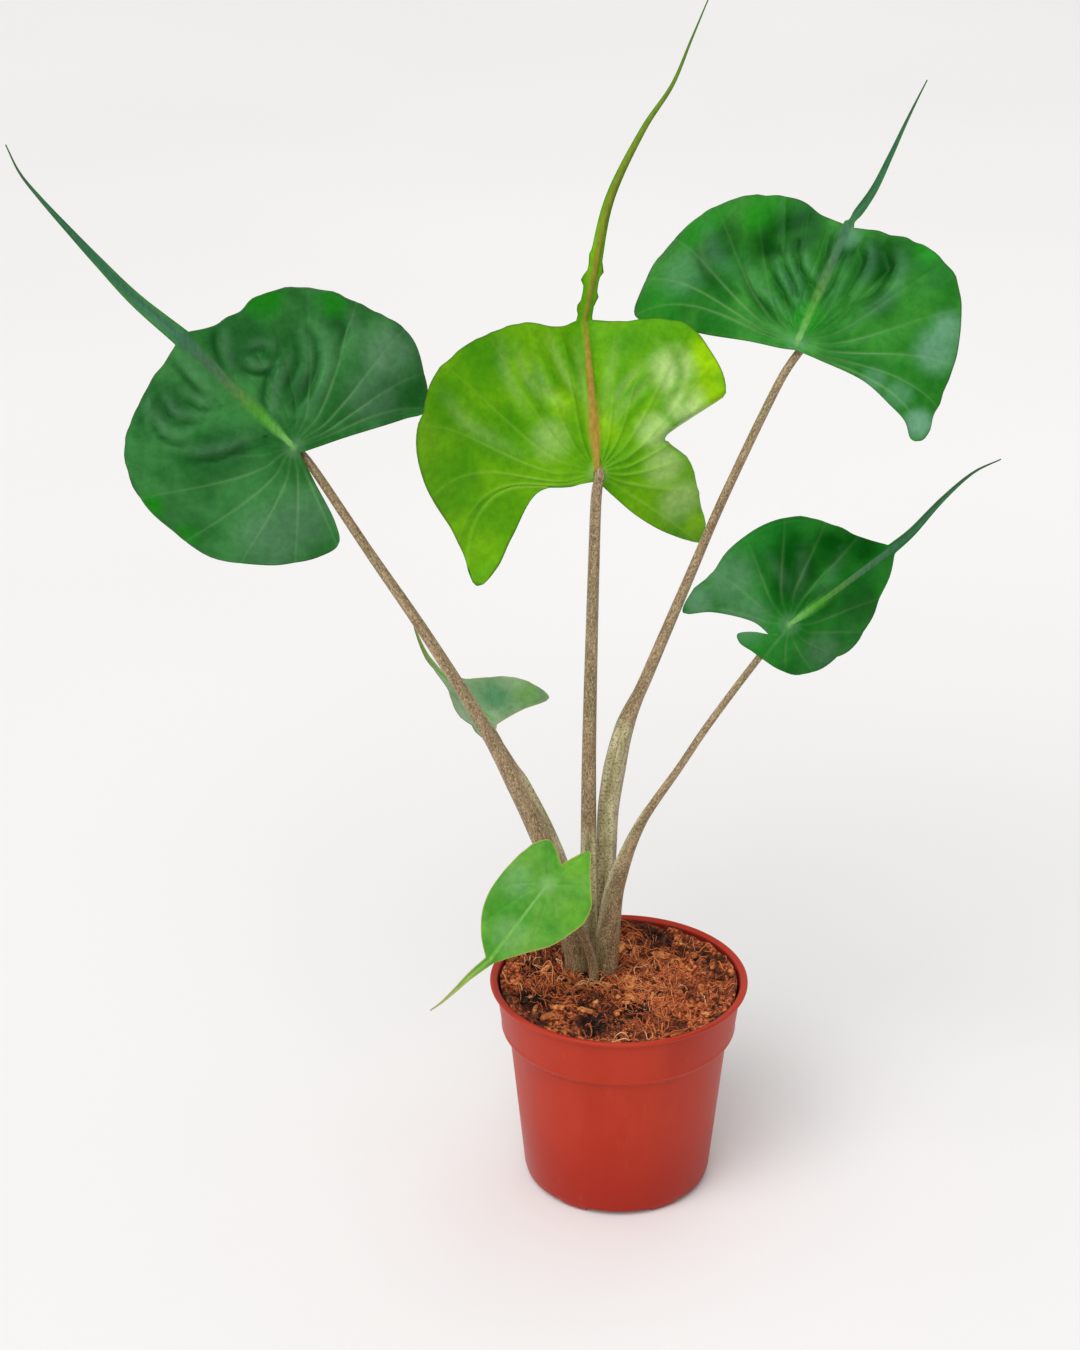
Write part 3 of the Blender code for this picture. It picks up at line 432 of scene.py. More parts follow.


# Leaves. Lengths are in millimetres and angles in degrees from the tail.
# - joint, tip, face: where the stalk meets the blade, and the tip's and the upper face's directions.
# - right, left: margin stations (angle, reach from the joint) from the tail to the lobe, the lobe,
#   and from there to the sinus.
# - bend_right, bend_left: (angle, slope at the joint, slope gained 50 mm out).
# - folds: (first angle, last angle, reach of the fold at the first and at the last, turn, width).
# - ruffle: (height 60 mm out, waves a turn, phase). tail: points that the tail runs through.
# - waist, tail_bumps: how much narrower the tail's root is, and (place, flank, size) of its lumps.
# - foot: where the stalk stands. stalk: points between its collar and its elbow. elbow: length of
#   its end square to the blade. girth: (share of length, radius). sheath: share with the channel.
# - veins: margin angles that the side veins run to. vein_show: (angle, strength). sweep, dip: how
#   far the veins curve, in degrees. rib_width: half widths of the midrib at the joint and the tail.
# - creases: (depth, width, stations of the fold's path). Right is positive there and in patches.
# - bright, pale and dark: patches (angle, reach, radius, strength). The pale ones are painted sheen
#   and highlights with some pale tone of the leaf's own, the dark ones painted shade.

LEAVES = {
    "left": {
        "joint": (-143.7, 15.0, 360.4), "tip": (-0.71, 0.15, 0.69), "face": (0.11, -0.94, 0.32),
        "reach": 67.0, "sinus": 3.8, "tail_half_width": 4.0,
        "right": (((11, 63), (21, 62.5), (33, 67), (50, 70), (70, 72), (90, 76), (107, 70)),
                  (120.5, 63.5), ((122, 51), (125, 25), (135, 11))),
        "left": (((12, 66.5), (22, 68), (38, 72), (52, 74), (70, 70), (95, 63.5), (120, 55),
                 (142, 51.5)), (158, 48.5), ((163, 38), (165, 18))),
        "bend_right": ((0, 0, 4), (35, 8, -8), (75, 2, -24), (118, -6, -16), (180, -4, 0)),
        "bend_left": ((0, 0, 4), (35, 8, -10), (80, 0, -22), (150, -8, -12), (180, -4, 0)),
        "folds": (), "ruffle": (2.2, 5, 30),
        "tail": ((-211, 31, 422), (-226, 37, 436), (-239, 42, 449), (-252, 48, 462), (-261, 53, 472),
                 (-267, 58, 483)),
        "waist": 0.0, "tail_bumps": (),
        "foot": (-19.0, 13.0), "elbow": 8.0, "sheath": 0.38,
        "stalk": ((-21, 13, 121), (-33, 13, 164), (-55, 14, 213), (-86, 14, 269), (-112, 15, 311),
                  (-136, 17, 350)),
        "girth": ((0, 6.2), (0.2, 5.9), (0.3, 5.6), (0.38, 4.9), (0.45, 3.6), (0.55, 2.9), (0.8, 2.2),
                  (1, 1.9)),
        "veins_right": (11, 22, 35, 51, 70, 90, 107), "veins_left": (12, 26, 43, 63, 86, 110, 135),
        "creases": (
            (1.6, 1.5, (15, 60), (10, 53), (5, 41)),
            (1.5, 1.3, (15, 43), (20, 38), (31, 36)),
            (1.0, 1.2, (20, 47), (29, 46), (35, 42)),
            (1.8, 1.6, (54, 56), (64, 44), (68, 29), (56, 13)),
            (1.4, 1.6, (41, 41), (25, 27), (9, 16)),
            (1.6, 1.6, (68, 64), (73, 58), (74, 47)),
            (1.0, 1.4, (49, 49), (53, 36), (44, 23)),
            (1.5, 1.4, (-22, 62), (-29, 53), (-27, 43)),
            (1.3, 1.3, (-29, 64), (-38, 56), (-40, 47)),
            (1.6, 1.6, (-47, 49), (-48, 34), (-30, 16)),
            (1.1, 1.5, (-6, 66), (-10, 51), (-12, 41)),
            (0.9, 1.3, (-24, 67), (-31, 66), (-37, 62)),
            (1.1, 1.3, (-18, 54), (-19, 45), (-16, 39))),
        "vein_show": ((0, 0.0), (50, 0.1), (75, 0.6), (180, 0.6)), "sweep": 14.0, "dip_right": 6.0,
        "dip_left": 0.0, "rib_width": (1.5, 3.6),
        "bright": ((34, 65, 10, 0.9), (61, 66, 8, 0.8), (-67, 69, 7, 1.0), (-84, 64, 8, 0.7),
                   (100, 62, 8, 0.5)),
        "pale_and_sheen": ((92, 60, 16, 0.55), (103, 42, 14, 0.4), (-139, 32, 16, 0.35), (-120, 42, 18, 0.35)),
        "dark_and_shade": ((20, 49, 13, 0.6), (-26, 58, 12, 0.6), (-47, 30, 13, 0.6), (66, 60, 9, 0.5),
                 (43, 29, 13, 0.5)),
    },
    "centre": {
        "joint": (-11.7, 22.0, 345.2), "tip": (-0.06, 0.37, 0.93), "face": (-0.24, 0.90, -0.37),
        "reach": 68.0, "sinus": 3.2, "tail_half_width": 3.6,
        "right": (((11, 66.5), (21, 72), (31, 76.5), (46, 83), (60, 89), (75, 90), (90, 80),
                  (107, 69.5), (119, 68.5)), (130, 72), ((130, 60), (123, 46), (104, 28), (117, 9))),
        "left": (((13, 68), (23, 72.5), (33, 76), (46, 73), (54, 71), (61, 67), (68, 59), (80, 51),
                  (92, 47), (102, 50.5), (111, 59.5), (117, 65)), (122, 67), ((129, 46), (136, 28),
                  (145, 12))),
        "bend_right": ((0, 0, 6), (35, 2, -6), (70, 0, -16), (125, 4, 6), (180, 0, 0)),
        "bend_left": ((0, 0, 6), (35, -6, -8), (62, -14, -8), (95, 2, 12), (124, 14, 14), (180, 0, 0)),
        "folds": ((-60, -114, 24, 54, 120, 11),), "ruffle": (2.0, 6, 100),
        "tail": ((-13, 51, 429), (-6.5, 57, 459), (7.5, 62, 488), (20, 65, 507), (28, 68, 526),
                 (35, 70, 543)),
        "waist": 0.1,
        "tail_bumps": ((0.04, 1.0, 1.6), (0.075, -1.0, 1.3), (0.13, 1.0, 2.2), (0.16, -1.0, 1.6),
                       (0.2, 1.0, 0.8)),
        "foot": (-13.5, 27.0), "elbow": 4.5, "sheath": 0.3,
        "stalk": ((-13.7, 27, 130), (-14, 27, 156), (-14.2, 26, 204), (-13.5, 25, 259),
                  (-12.7, 23, 304), (-12, 20, 334)),
        "girth": ((0, 4.2), (0.2, 4.0), (0.45, 3.3), (0.7, 2.8), (0.95, 2.4), (1, 2.0)),
        "veins_right": (11, 23, 37, 54, 74, 95, 114), "veins_left": (11, 22, 34, 48, 64, 82, 102),
        "creases": (
            (1.7, 1.6, (26, 57), (26, 43), (21, 34)),
            (1.3, 1.5, (30, 65), (32, 51), (30, 38)),
            (1.2, 1.4, (15, 64), (13, 49), (10, 37)),
            (1.3, 1.5, (-27, 52), (-22, 40), (-18, 30)),
            (1.0, 1.4, (-34, 50), (-29, 36), (-21, 22)),
            (1.5, 1.7, (-29, 64), (-39, 55), (-43, 43)),
            (0.9, 1.8, (-39, 67), (-46, 55), (-52, 43)),
            (0.9, 2.0, (33, 72), (38, 59), (43, 42)),
            (0.8, 1.6, (-14, 58), (-13, 42), (-12, 28)),
            (0.8, 1.5, (3, 59), (3, 42), (2, 28)),
            (1.0, 2.4, (60, 79), (65, 62), (68, 37))),
        "vein_show": ((0, 0.15), (50, 0.4), (90, 0.8), (180, 0.4)), "sweep": 15.0, "dip_right": 34.0,
        "dip_left": 0.0, "rib_width": (2.1, 1.6),
        "bright": ((-46, 72, 12, 1.0), (-57, 60, 10, 1.0), (-116, 57, 8, 0.4), (24, 36, 7, 0.4),
                   (33, 58, 7, 0.3), (-12, 20, 8, 0.5)),
        "pale_and_sheen": ((-38, 56, 11, 0.75), (-54, 50, 10, 0.7), (-86, 31, 10, 0.5), (-56, 32, 9, 0.6),
                 (-109, 43, 11, 0.45), (52, 26, 10, 0.3)),
        "dark_and_shade": ((42, 74, 16, 0.8), (66, 78, 14, 0.7), (-17, 60, 8, 0.6), (89, 68, 16, 0.7),
                 (64, 48, 16, 0.6)),
    },
    "right_upper": {
        "joint": (74.7, 30.0, 402.8), "tip": (0.41, 0.44, 0.80), "face": (-0.35, -0.73, 0.59),
        "reach": 56.0, "sinus": 3.2, "tail_half_width": 2.4,
        "right": (((14, 60), (26, 65), (38, 71), (52, 74), (70, 70), (87, 67), (96, 67.5),
                   (102, 70)), (106.5, 70), ((108.5, 66), (104.5, 59), (102.5, 50), (99, 34),
                   (107, 13))),
        "left": (((13, 58), (22, 64), (32, 68.5), (45, 77.5), (60, 88), (75, 92), (88, 87)),
                 (97, 84), ((99, 66), (102, 44), (106, 22), (125, 8))),
        "bend_right": ((0, 0, 4), (35, 6, -6), (75, 0, -18), (109, -6, -12), (180, -2, 0)),
        "bend_left": ((0, 0, 4), (35, 6, -6), (75, 2, -14), (100, -2, -10), (180, -2, 0)),
        "folds": (), "ruffle": (2.2, 5, 200),
        "tail": ((108, 62, 461), (116, 70, 475), (122, 75, 487), (127, 80, 496), (132, 84, 505)),
        "waist": 0.42, "tail_bumps": ((0.012, -1.0, 1.0), (0.016, 1.0, 0.8)),
        "foot": (-6.0, 36.0), "elbow": 7.0, "sheath": 0.4,
        "stalk": ((-6.2, 34, 126), (-5.5, 32, 154), (-4.5, 30, 181), (1.5, 27, 218), (12, 25, 247),
                  (30, 23, 296), (45, 24, 335), (67, 29, 384)),
        "girth": ((0, 5.0), (0.2, 4.7), (0.34, 5.2), (0.41, 4.3), (0.46, 2.9), (0.7, 2.1), (1, 1.8)),
        "veins_right": (9, 18, 29, 42, 58, 76, 93), "veins_left": (9, 18, 28, 40, 54, 70, 85),
        "creases": (
            (1.6, 1.3, (-21, 43), (-17, 34), (-4, 27)),
            (1.6, 1.3, (-40, 40), (-34, 25), (-20, 14)),
            (1.2, 1.1, (-32, 42), (-25, 29), (-16, 19)),
            (1.7, 1.6, (-56, 49), (-59, 32), (-57, 27), (-47, 12)),
            (1.3, 1.3, (-4, 50), (-2, 38), (-1, 23)),
            (1.5, 1.6, (10, 53), (20, 46), (28, 32)),
            (2.2, 2.2, (24, 58), (35, 53), (43, 42), (45, 27)),
            (1.5, 3.0, (-61, 81), (-67, 61), (-68, 45)),
            (0.9, 1.2, (7, 41), (12, 31), (13, 21))),
        "vein_show": ((0, 0.05), (40, 0.1), (60, 0.4), (80, 0.8), (180, 0.35)),
        "sweep": 15.0, "dip_right": 11.0, "dip_left": 9.0, "rib_width": (1.8, 2.2),
        "bright": ((-60, 84, 15, 0.9), (-40, 64, 10, 0.7), (35, 69, 7, 0.8), (-90, 73, 14, 0.5),
                   (-2, 12, 8, 0.9)),
        "pale_and_sheen": ((64, 66, 8, 0.8), (72, 60, 10, 0.8), (96, 50, 7, 0.4), (102, 64, 7, 1.0),
                 (95, 38, 6, 0.5), (-77, 70, 14, 0.35), (3, 52, 6, 0.5)),
        "dark_and_shade": ((-38, 50, 15, 0.9), (-22, 51, 14, 1.0), (24, 50, 14, 1.0), (1, 45, 11, 0.8),
                 (-59, 64, 13, 0.8), (45, 40, 9, 0.7)),
    },
    "right_lower": {
        "joint": (69.5, -40.0, 300.0), "tip": (0.80, 0.18, 0.57), "face": (-0.08, -0.91, 0.40),
        "reach": 54.0, "sinus": 9.0, "tail_half_width": 2.4,
        "right": (((11, 48), (22, 41), (40, 36.5), (62, 34), (88, 28.5), (115, 24), (138, 20)),
                  (164, 18.5), ((180, 19.3), (196, 22.3), (207, 22), (204, 14))),
        "left": (((15, 48), (33, 46.5), (50, 46.5), (68, 44), (88, 41.5), (110, 40), (124, 44)),
                 (137, 46), ((134, 33), (138, 16))),
        "bend_right": ((0, 0, -4), (30, -22, -8), (70, -42, -14), (110, -32, -10), (142, -10, -6),
                       (180, 0, 0)),
        "bend_left": ((0, 0, -4), (35, 6, -4), (80, 8, -16), (137, -4, -10), (180, 0, 0)),
        "folds": (), "ruffle": (1.2, 5, 20),
        "tail": ((122, -23, 336), (135, -18, 349), (148, -13, 359), (160, -10, 364)),
        "waist": 0.0, "tail_bumps": (),
        "foot": (-5.3, 11.0), "elbow": 7.5, "sheath": 0.46,
        "stalk": ((-5, 11, 112), (-4, 9, 129), (-1, 5, 152), (9, -4, 186), (26, -15, 221),
                  (38, -23, 246), (59, -34, 284)),
        "girth": ((0, 5.3), (0.15, 5.3), (0.3, 3.9), (0.37, 2.9), (0.45, 2.1), (0.6, 1.7), (1, 1.5)),
        "veins_right": (20, 42, 70, 100, 132), "veins_left": (16, 34, 56, 80, 108),
        "creases": (
            (0.8, 1.6, (-20, 37), (-16, 27), (-15, 16)),
            (0.8, 1.6, (-45, 33), (-44, 23), (-45, 14)),
            (0.7, 1.8, (-75, 32), (-68, 22), (-55, 13))),
        "vein_show": ((0, 0.3), (180, 0.35)), "sweep": 12.0, "dip_right": 0.0, "dip_left": 7.0,
        "rib_width": (1.2, 1.6),
        "bright": ((17, 44, 5, 0.7), (-71, 42, 8, 0.3)),
        "pale_and_sheen": ((-106, 32, 13, 0.4), (-134, 20, 12, 0.4), (-128, 40, 8, 0.5), (75, 21, 10, 0.3)),
        "dark_and_shade": ((-52, 19, 11, 0.9), (-44, 28, 14, 1.0), (-26, 36, 12, 0.9), (-12, 45, 10, 0.9),
                 (-2, 17, 9, 0.6), (17, 33, 12, 0.6)),
    },
    "small_back": {
        "joint": (-59.5, 47.5, 214.3), "tip": (-0.75, 0.35, 0.56), "face": (0.26, -0.63, 0.73),
        "reach": 33.0, "sinus": 3.8, "tail_half_width": 2.0,
        "right": (((14, 24), (32, 21.5), (52, 22.5), (75, 26), (92, 30)),
                  (112, 34), ((116, 18), (125, 10))),
        "left": (((14, 25), (32, 24), (55, 24), (80, 24.5), (100, 25)),
                 (120, 25), ((128, 16), (140, 9))),
        "bend_right": ((0, 0, 6), (40, -4, -10), (112, -6, -16), (180, 0, 0)),
        "bend_left": ((0, 0, 6), (30, 32, 4), (80, 55, 0), (120, 48, 0), (180, 4, 0)),
        "folds": (), "ruffle": (1.0, 5, 0),
        "tail": ((-89.5, 61, 240.5), (-94, 64, 250.5), (-96.5, 67, 259.5)),
        "waist": 0.0, "tail_bumps": (),
        "foot": (-24.0, 26.5), "elbow": 5.0, "sheath": 0.4,
        "stalk": ((-26, 28, 120), (-34, 34, 147.5), (-46, 41, 180.5), (-55, 45.5, 202)),
        "girth": ((0, 2.6), (0.3, 2.3), (0.6, 1.7), (1, 1.35)),
        "veins_right": (24, 50, 80), "veins_left": (30, 60, 92),
        "creases": (),
        "vein_show": ((0, 0.3), (180, 0.3)), "sweep": 8.0, "dip_right": 5.0, "dip_left": 0.0,
        "rib_width": (0.8, 1.2),
        "bright": ((95, 24, 8, 0.4),),
        "pale_and_sheen": ((75, 25, 8, 0.4), (-80, 20, 20, 0.8), (0, 28, 8, 0.5)),
        "dark_and_shade": ((60, 12, 9, 0.7),),
    },
    "small_front": {
        "joint": (-33.6, -30.0, 168.7), "tip": (-0.60, -0.23, -0.77), "face": (-0.10, -0.93, 0.36),
        "reach": 43.0, "sinus": 11.5, "tail_half_width": 2.2,
        "right": (((14, 38), (28, 32.5), (46, 26), (70, 20.5), (100, 18.5), (125, 19.5)),
                  (145, 20.5), ((158, 16.5), (170, 13))),
        "left": (((12, 36), (25, 31), (48, 26), (75, 24), (100, 22.5), (125, 19.5), (148, 21)),
                 (166, 24.5), ((174, 17),)),
        "bend_right": ((0, 0, 0), (45, 4, -14), (145, 2, -12), (180, 0, 0)),
        "bend_left": ((0, 0, 0), (45, 4, -10), (166, 2, -14), (180, 0, 0)),
        "folds": (), "ruffle": (0.8, 5, 60),
        "tail": ((-68, -42, 129), (-75, -45, 123), (-81, -48, 118.5), (-86, -50, 115.5)),
        "waist": 0.0, "tail_bumps": (),
        "foot": (-11.5, 2.5), "elbow": 6.0, "sheath": 0.35,
        "stalk": ((-14, 1, 118), (-19, -4, 133), (-25, -14, 151)),
        "girth": ((0, 2.4), (0.3, 2.3), (0.7, 1.7), (1, 1.3)),
        "veins_right": (22, 50, 85, 118), "veins_left": (22, 50, 85, 125),
        "creases": (),
        "vein_show": ((0, 0.3), (180, 0.3)), "sweep": 8.0, "dip_right": 0.0, "dip_left": 0.0,
        "rib_width": (0.7, 1.0),
        "bright": ((-165, 16, 8, 0.5), (-80, 18, 8, 0.3)),
        "pale_and_sheen": ((0, 0, 5, 0.3), (0, 28, 9, 0.3), (60, 14, 9, 0.3)),
        "dark_and_shade": (),
    },
}

WAXY = {"Coat Weight": 0.05, "Coat Roughness": 0.2, "Specular IOR Level": 0.2,
        "Specular Tint": srgb(96, 205, 130)}
MATTE = {"Specular IOR Level": 0.2, "Specular Tint": srgb(190, 225, 170)}

# In each look the dark colour paints shade, and the pale colour paints pale tone with painted sheen and
# highlights.
DARK_UPPER = {
    "deep": srgb(34, 96, 38), "mid": srgb(56, 120, 58), "dark_and_shade": srgb(2, 60, 18),
    "bright": srgb(22, 120, 10), "pale_and_sheen": srgb(104, 142, 112), "vein": srgb(132, 176, 116),
    "vein_strength": 0.7,
    "edge": srgb(74, 70, 48), "edge_strength": 0.5, "shader": WAXY,
    "rib": ((0.0, srgb(108, 164, 88)), (0.2, srgb(74, 146, 44)), (0.36, srgb(80, 124, 58)),
            (0.55, srgb(70, 106, 72)), (1.0, srgb(48, 98, 76)))}
FRESH_UPPER = {**DARK_UPPER, "deep": srgb(28, 104, 24), "mid": srgb(52, 128, 40), "dark_and_shade": srgb(0, 64, 0),
               "bright": srgb(26, 130, 12), "pale_and_sheen": srgb(100, 150, 118)}
DEEP_UPPER = {**DARK_UPPER, "deep": srgb(14, 92, 18), "mid": srgb(36, 112, 34), "dark_and_shade": srgb(0, 64, 0)}
DARK_LOWER = {
    "deep": srgb(66, 118, 62), "mid": srgb(82, 134, 74), "dark_and_shade": srgb(54, 104, 50),
    "bright": srgb(100, 152, 58), "pale_and_sheen": srgb(130, 158, 120), "vein": srgb(144, 170, 108),
    "vein_strength": 0.7, "edge": srgb(92, 80, 58), "edge_strength": 0.5, "shader": MATTE,
    "rib": ((0.0, srgb(136, 104, 68)), (0.5, srgb(128, 120, 70)), (1.0, srgb(100, 120, 74)))}
LIME_LOWER = {
    "deep": srgb(82, 150, 2), "mid": srgb(104, 166, 8), "dark_and_shade": srgb(60, 136, 0),
    "bright": srgb(146, 198, 0), "pale_and_sheen": srgb(182, 210, 134), "vein": srgb(150, 200, 66),
    "vein_strength": 0.75, "edge": srgb(60, 92, 16), "edge_strength": 0.7, "shader": MATTE,
    "rib": ((0.0, srgb(168, 138, 58)), (0.45, srgb(160, 124, 52)), (0.8, srgb(136, 134, 40)),
            (1.0, srgb(80, 128, 36)))}
LIME_UPPER = {**DARK_UPPER, "deep": srgb(44, 126, 8), "mid": srgb(64, 142, 20), "dark_and_shade": srgb(30, 108, 4),
              "bright": srgb(118, 180, 14), "pale_and_sheen": srgb(116, 172, 54)}
PALE_UPPER = {**DARK_UPPER, "deep": srgb(70, 140, 42), "mid": srgb(102, 158, 60),
              "dark_and_shade": srgb(32, 126, 56), "bright": srgb(108, 170, 34),
              "pale_and_sheen": srgb(140, 180, 124), "vein": srgb(132, 182, 104),
              "vein_strength": 0.4, "edge": srgb(190, 170, 90), "edge_strength": 0.8,
              "rib": ((0.0, srgb(122, 176, 92)), (0.7, srgb(110, 168, 70)), (1.0, srgb(150, 168, 84)))}
GREY_UPPER = {**PALE_UPPER, "deep": srgb(116, 154, 106), "mid": srgb(138, 170, 128),
              "dark_and_shade": srgb(76, 138, 94), "pale_and_sheen": srgb(168, 190, 156)}
PALE_LOWER = {**DARK_LOWER, "deep": srgb(110, 158, 96), "mid": srgb(128, 170, 110)}

LEAF_LOOKS = {
    "left": (DARK_UPPER, DARK_LOWER, "blade_dark"),
    "centre": (LIME_UPPER, LIME_LOWER, "blade_lime"),
    "right_upper": (FRESH_UPPER, DARK_LOWER, "blade_dark"),
    "right_lower": (DEEP_UPPER, DARK_LOWER, "blade_dark"),
    "small_back": (GREY_UPPER, PALE_LOWER, "blade_pale"),
    "small_front": (PALE_UPPER, PALE_LOWER, "blade_pale"),
}


def leaf_axes(leaf):
    """Right, tip and upper-face directions of a blade, square to each other."""
    tip = unit(leaf["tip"])
    face = np.asarray(leaf["face"], float)
    face = unit(face - tip * (face @ tip))
    return np.array([np.cross(tip, face), tip, face])


def planar(angle, reach):
    """Flat place at an angle from the tail, as (right, towards the tail)."""
    angle = np.radians(angle)
    return np.stack([reach * np.sin(angle), reach * np.cos(angle)], axis=-1)


def bend_table(leaf):
    """Angles from the tail, left negative, with the slope at the joint and the gain at each."""
    rows = [(-a, s, g) for a, s, g in reversed(leaf["bend_left"])] + list(leaf["bend_right"][1:])
    return tuple(zip(*rows))


def blade_surface(leaf, flat):
    """Middle surface of the blade above flat places, found by walking out from the joint while
    the slope changes, in the leaf's own right, tip and face axes."""
    x, y = flat[:, 0], flat[:, 1]
    reach = np.hypot(x, y) + 1e-9
    angle = np.degrees(np.arctan2(x, y))
    places, slopes, gains = bend_table(leaf)
    slope = np.interp(angle, places, slopes)[:, None]
    gain = np.interp(angle, places, gains)[:, None]
    out = reach[:, None] * (np.arange(WALK_STEPS) + 0.5) / WALK_STEPS
    tilt = slope * ease(out / 12.0) + gain * (out / 50.0) ** 1.5
    for from_angle, to_angle, from_start, to_start, turn, over in leaf["folds"]:
        across = ((angle - from_angle) / (to_angle - from_angle))[:, None]
        near = ease((0.5 - abs(across - 0.5)) * 6.0)
        start = from_start + (to_start - from_start) * across
        tilt = tilt + near * turn * ease((out - start) / over)
    tilt = np.radians(tilt)
    level = np.cos(tilt).mean(axis=1)
    height = np.sin(tilt).mean(axis=1) * reach
    size, waves, phase = leaf["ruffle"]
    height += size * (reach / 60.0) ** 2 * np.sin(np.radians(waves * angle + phase))
    return np.stack([level * x, level * y, height], axis=1)


class Half:
    """One half of a blade in the flat, as columns that run from the joint out to the margin: over
    the midrib, along the fan of side veins to the lobe, and over the strip behind the lobe's rib."""

    def __init__(self, leaf, side):
        self.leaf = leaf
        self.sign = 1 if side == "right" else -1
        front, lobe, rear = leaf[side]
        self.lobe = lobe[0]
        self.dip = leaf["dip_" + side]
        self.shoulder = math.degrees(math.atan2(leaf["tail_half_width"], leaf["reach"]))
        stations = [planar(a, r) for a, r in (*front, lobe, *rear)]
        shoulder, sinus = (leaf["tail_half_width"], leaf["reach"]), (0.0, -leaf["sinus"])
        margin = smooth_path([shoulder, *stations, sinus], MARGIN_STEPS)
        at_lobe = MARGIN_STEPS * (len(front) + 1)
        self.front = margin[:at_lobe + 1]
        self.rear = margin[at_lobe:][::-1]
        self.veins = [self.shoulder, *leaf["veins_" + side], self.lobe]
        self.build()

    def column_angle(self, margin_angle, f):
        """Angle from the tail along the column that ends at margin_angle."""
        share = (margin_angle - self.shoulder) / (self.lobe - self.shoulder)
        start = FAN_START + (self.lobe - FAN_START) * share
        sweep = self.leaf["sweep"] * math.sin(math.pi * share) * (1 - f) ** 1.4 * ease(f * 5.0)
        return (margin_angle + (start - margin_angle) * (1 - f) ** 3 + sweep
                - self.dip * share ** 3 * np.sin(math.pi * f) ** 0.8)

    def build(self):
        """Flat places and distances to the margin, row by row along each column."""
        leaf = self.leaf
        f = np.arange(ROWS + 1) / ROWS
        rib = HUB_RIB + (leaf["tail_half_width"] - HUB_RIB) * f ** 1.5
        out = HUB_RADIUS + (leaf["reach"] - HUB_RADIUS) * f
        columns = [(np.stack([c * rib, out], axis=1), np.full(ROWS + 1, FAR)) for c in RIB_COLUMNS]
        angles = np.degrees(np.arctan2(self.front[:, 0], self.front[:, 1]))
        order = np.argsort(angles)
        margin = angles[order], np.hypot(self.front[:, 0], self.front[:, 1])[order]
        for first, last in zip(self.veins, self.veins[1:]):
            steps = SECTOR_STEPS[1:] if first == self.shoulder else SECTOR_STEPS
            columns += [self.fan_column(first + (last - first) * step, f, margin) for step in steps]
        columns.append(self.fan_column(self.lobe, f, margin))
        columns += self.rear_columns(columns[-1][0], f)
        self.flat = np.stack([place for place, gap in columns], axis=1)
        self.edge_gap = np.stack([gap for place, gap in columns], axis=1)
        self.values(f)
        self.flat = self.flat * (self.sign, 1.0)

    def fan_column(self, margin_angle, f, margin):
        leaf = self.leaf
        reach = np.interp(margin_angle, *margin)
        share = (margin_angle - self.shoulder) / (self.lobe - self.shoulder)
        wave = noise.noise(Vector((margin_angle * reach * 0.0022, self.sign * 4.0, leaf["reach"])))
        reach += 0.016 * leaf["reach"] * wave * ease(share * 8.0) * ease((1 - share) * 5.0)
        out = HUB_RADIUS + (reach - HUB_RADIUS) * f
        return planar(self.column_angle(margin_angle, f), out), (1 - f) * reach

    def rear_columns(self, inner, f):
        """Columns over the strip between the lobe's rib and the margin behind it."""
        sinus = self.leaf["sinus"]
        shared = max(1, round((sinus - HUB_RADIUS) / SINUS_ROW))
        rear = np.zeros((ROWS + 1, 2))
        for row in range(shared + 1):
            rear[row] = (0.0, -(HUB_RADIUS + (sinus - HUB_RADIUS) * row / shared))
        along = lengths_along(self.rear)
        wanted = np.linspace(0.0, along[-1] - 2.5, ROWS - shared + 1)
        for k in (0, 1):
            rear[shared:, k] = np.interp(wanted, along, self.rear[:, k])
        turn = planar(np.array([self.lobe, 180.0]), HUB_RADIUS)
        columns = []
        for step in range(1, REAR_COLUMNS + 1):
            t = step / REAR_COLUMNS
            place = inner + (rear - inner) * t
            if step < REAR_COLUMNS:
                place[0] = HUB_RADIUS * unit(turn[0] + (turn[1] - turn[0]) * t)
            gap = np.linalg.norm(rear - place, axis=1)
            gap[:shared] = FAR
            columns.append((place, np.minimum(gap, (1 - f) * 60.0)))
        return columns

    def values(self, f):
        """Distance to the nearest side vein and to the midrib, and relief."""
        x, y = self.flat[..., 0], self.flat[..., 1]
        reach = np.hypot(x, y)
        angle = np.degrees(np.arctan2(x, y))
        angle = np.where(angle < -90, angle + 360, angle)
        rows = f[:, None]
        lines = np.stack([self.column_angle(v, rows) * np.ones_like(angle) for v in self.veins[1:]])
        from_line = np.radians(abs(angle - lines)) * reach
        self.vein_gap = from_line.min(axis=0)
        rib = np.degrees(np.arctan2(HUB_RIB + rows, HUB_RADIUS + 60 * rows)) * np.ones_like(angle)
        edges = np.concatenate([rib[None], lines])
        sector = np.clip((angle >= edges).sum(axis=0) - 1, 0, len(edges) - 2)
        low = np.take_along_axis(edges, sector[None], 0)[0]
        high = np.take_along_axis(edges, sector[None] + 1, 0)[0]
        place = np.clip((angle - low) / np.maximum(high - low, 1e-6), 0.0, 1.0)
        self.relief = self.pucker(place, sector, reach, rows)
        self.rib_gap = np.where(y > 0, x, FAR)

    def pucker(self, place, sector, reach, rows):
        """Soft domes between the side veins, uneven along their length."""
        seed = 3.0 * len(self.veins) + self.leaf["reach"] + 11.0 * self.sign
        around = (sector + place).ravel() * 0.9
        spots = np.stack([around, reach.ravel() / 13.0, np.full(place.size, seed)], axis=1)
        uneven = noise_at(spots, 1.0, seed).reshape(place.shape)
        dome = np.sin(math.pi * place) ** 0.85
        height = dome * ease(rows / 0.3) * (1 - 0.4 * rows) * (0.45 + 0.5 * uneven)
        return height * self.leaf["reach"] / 60.0


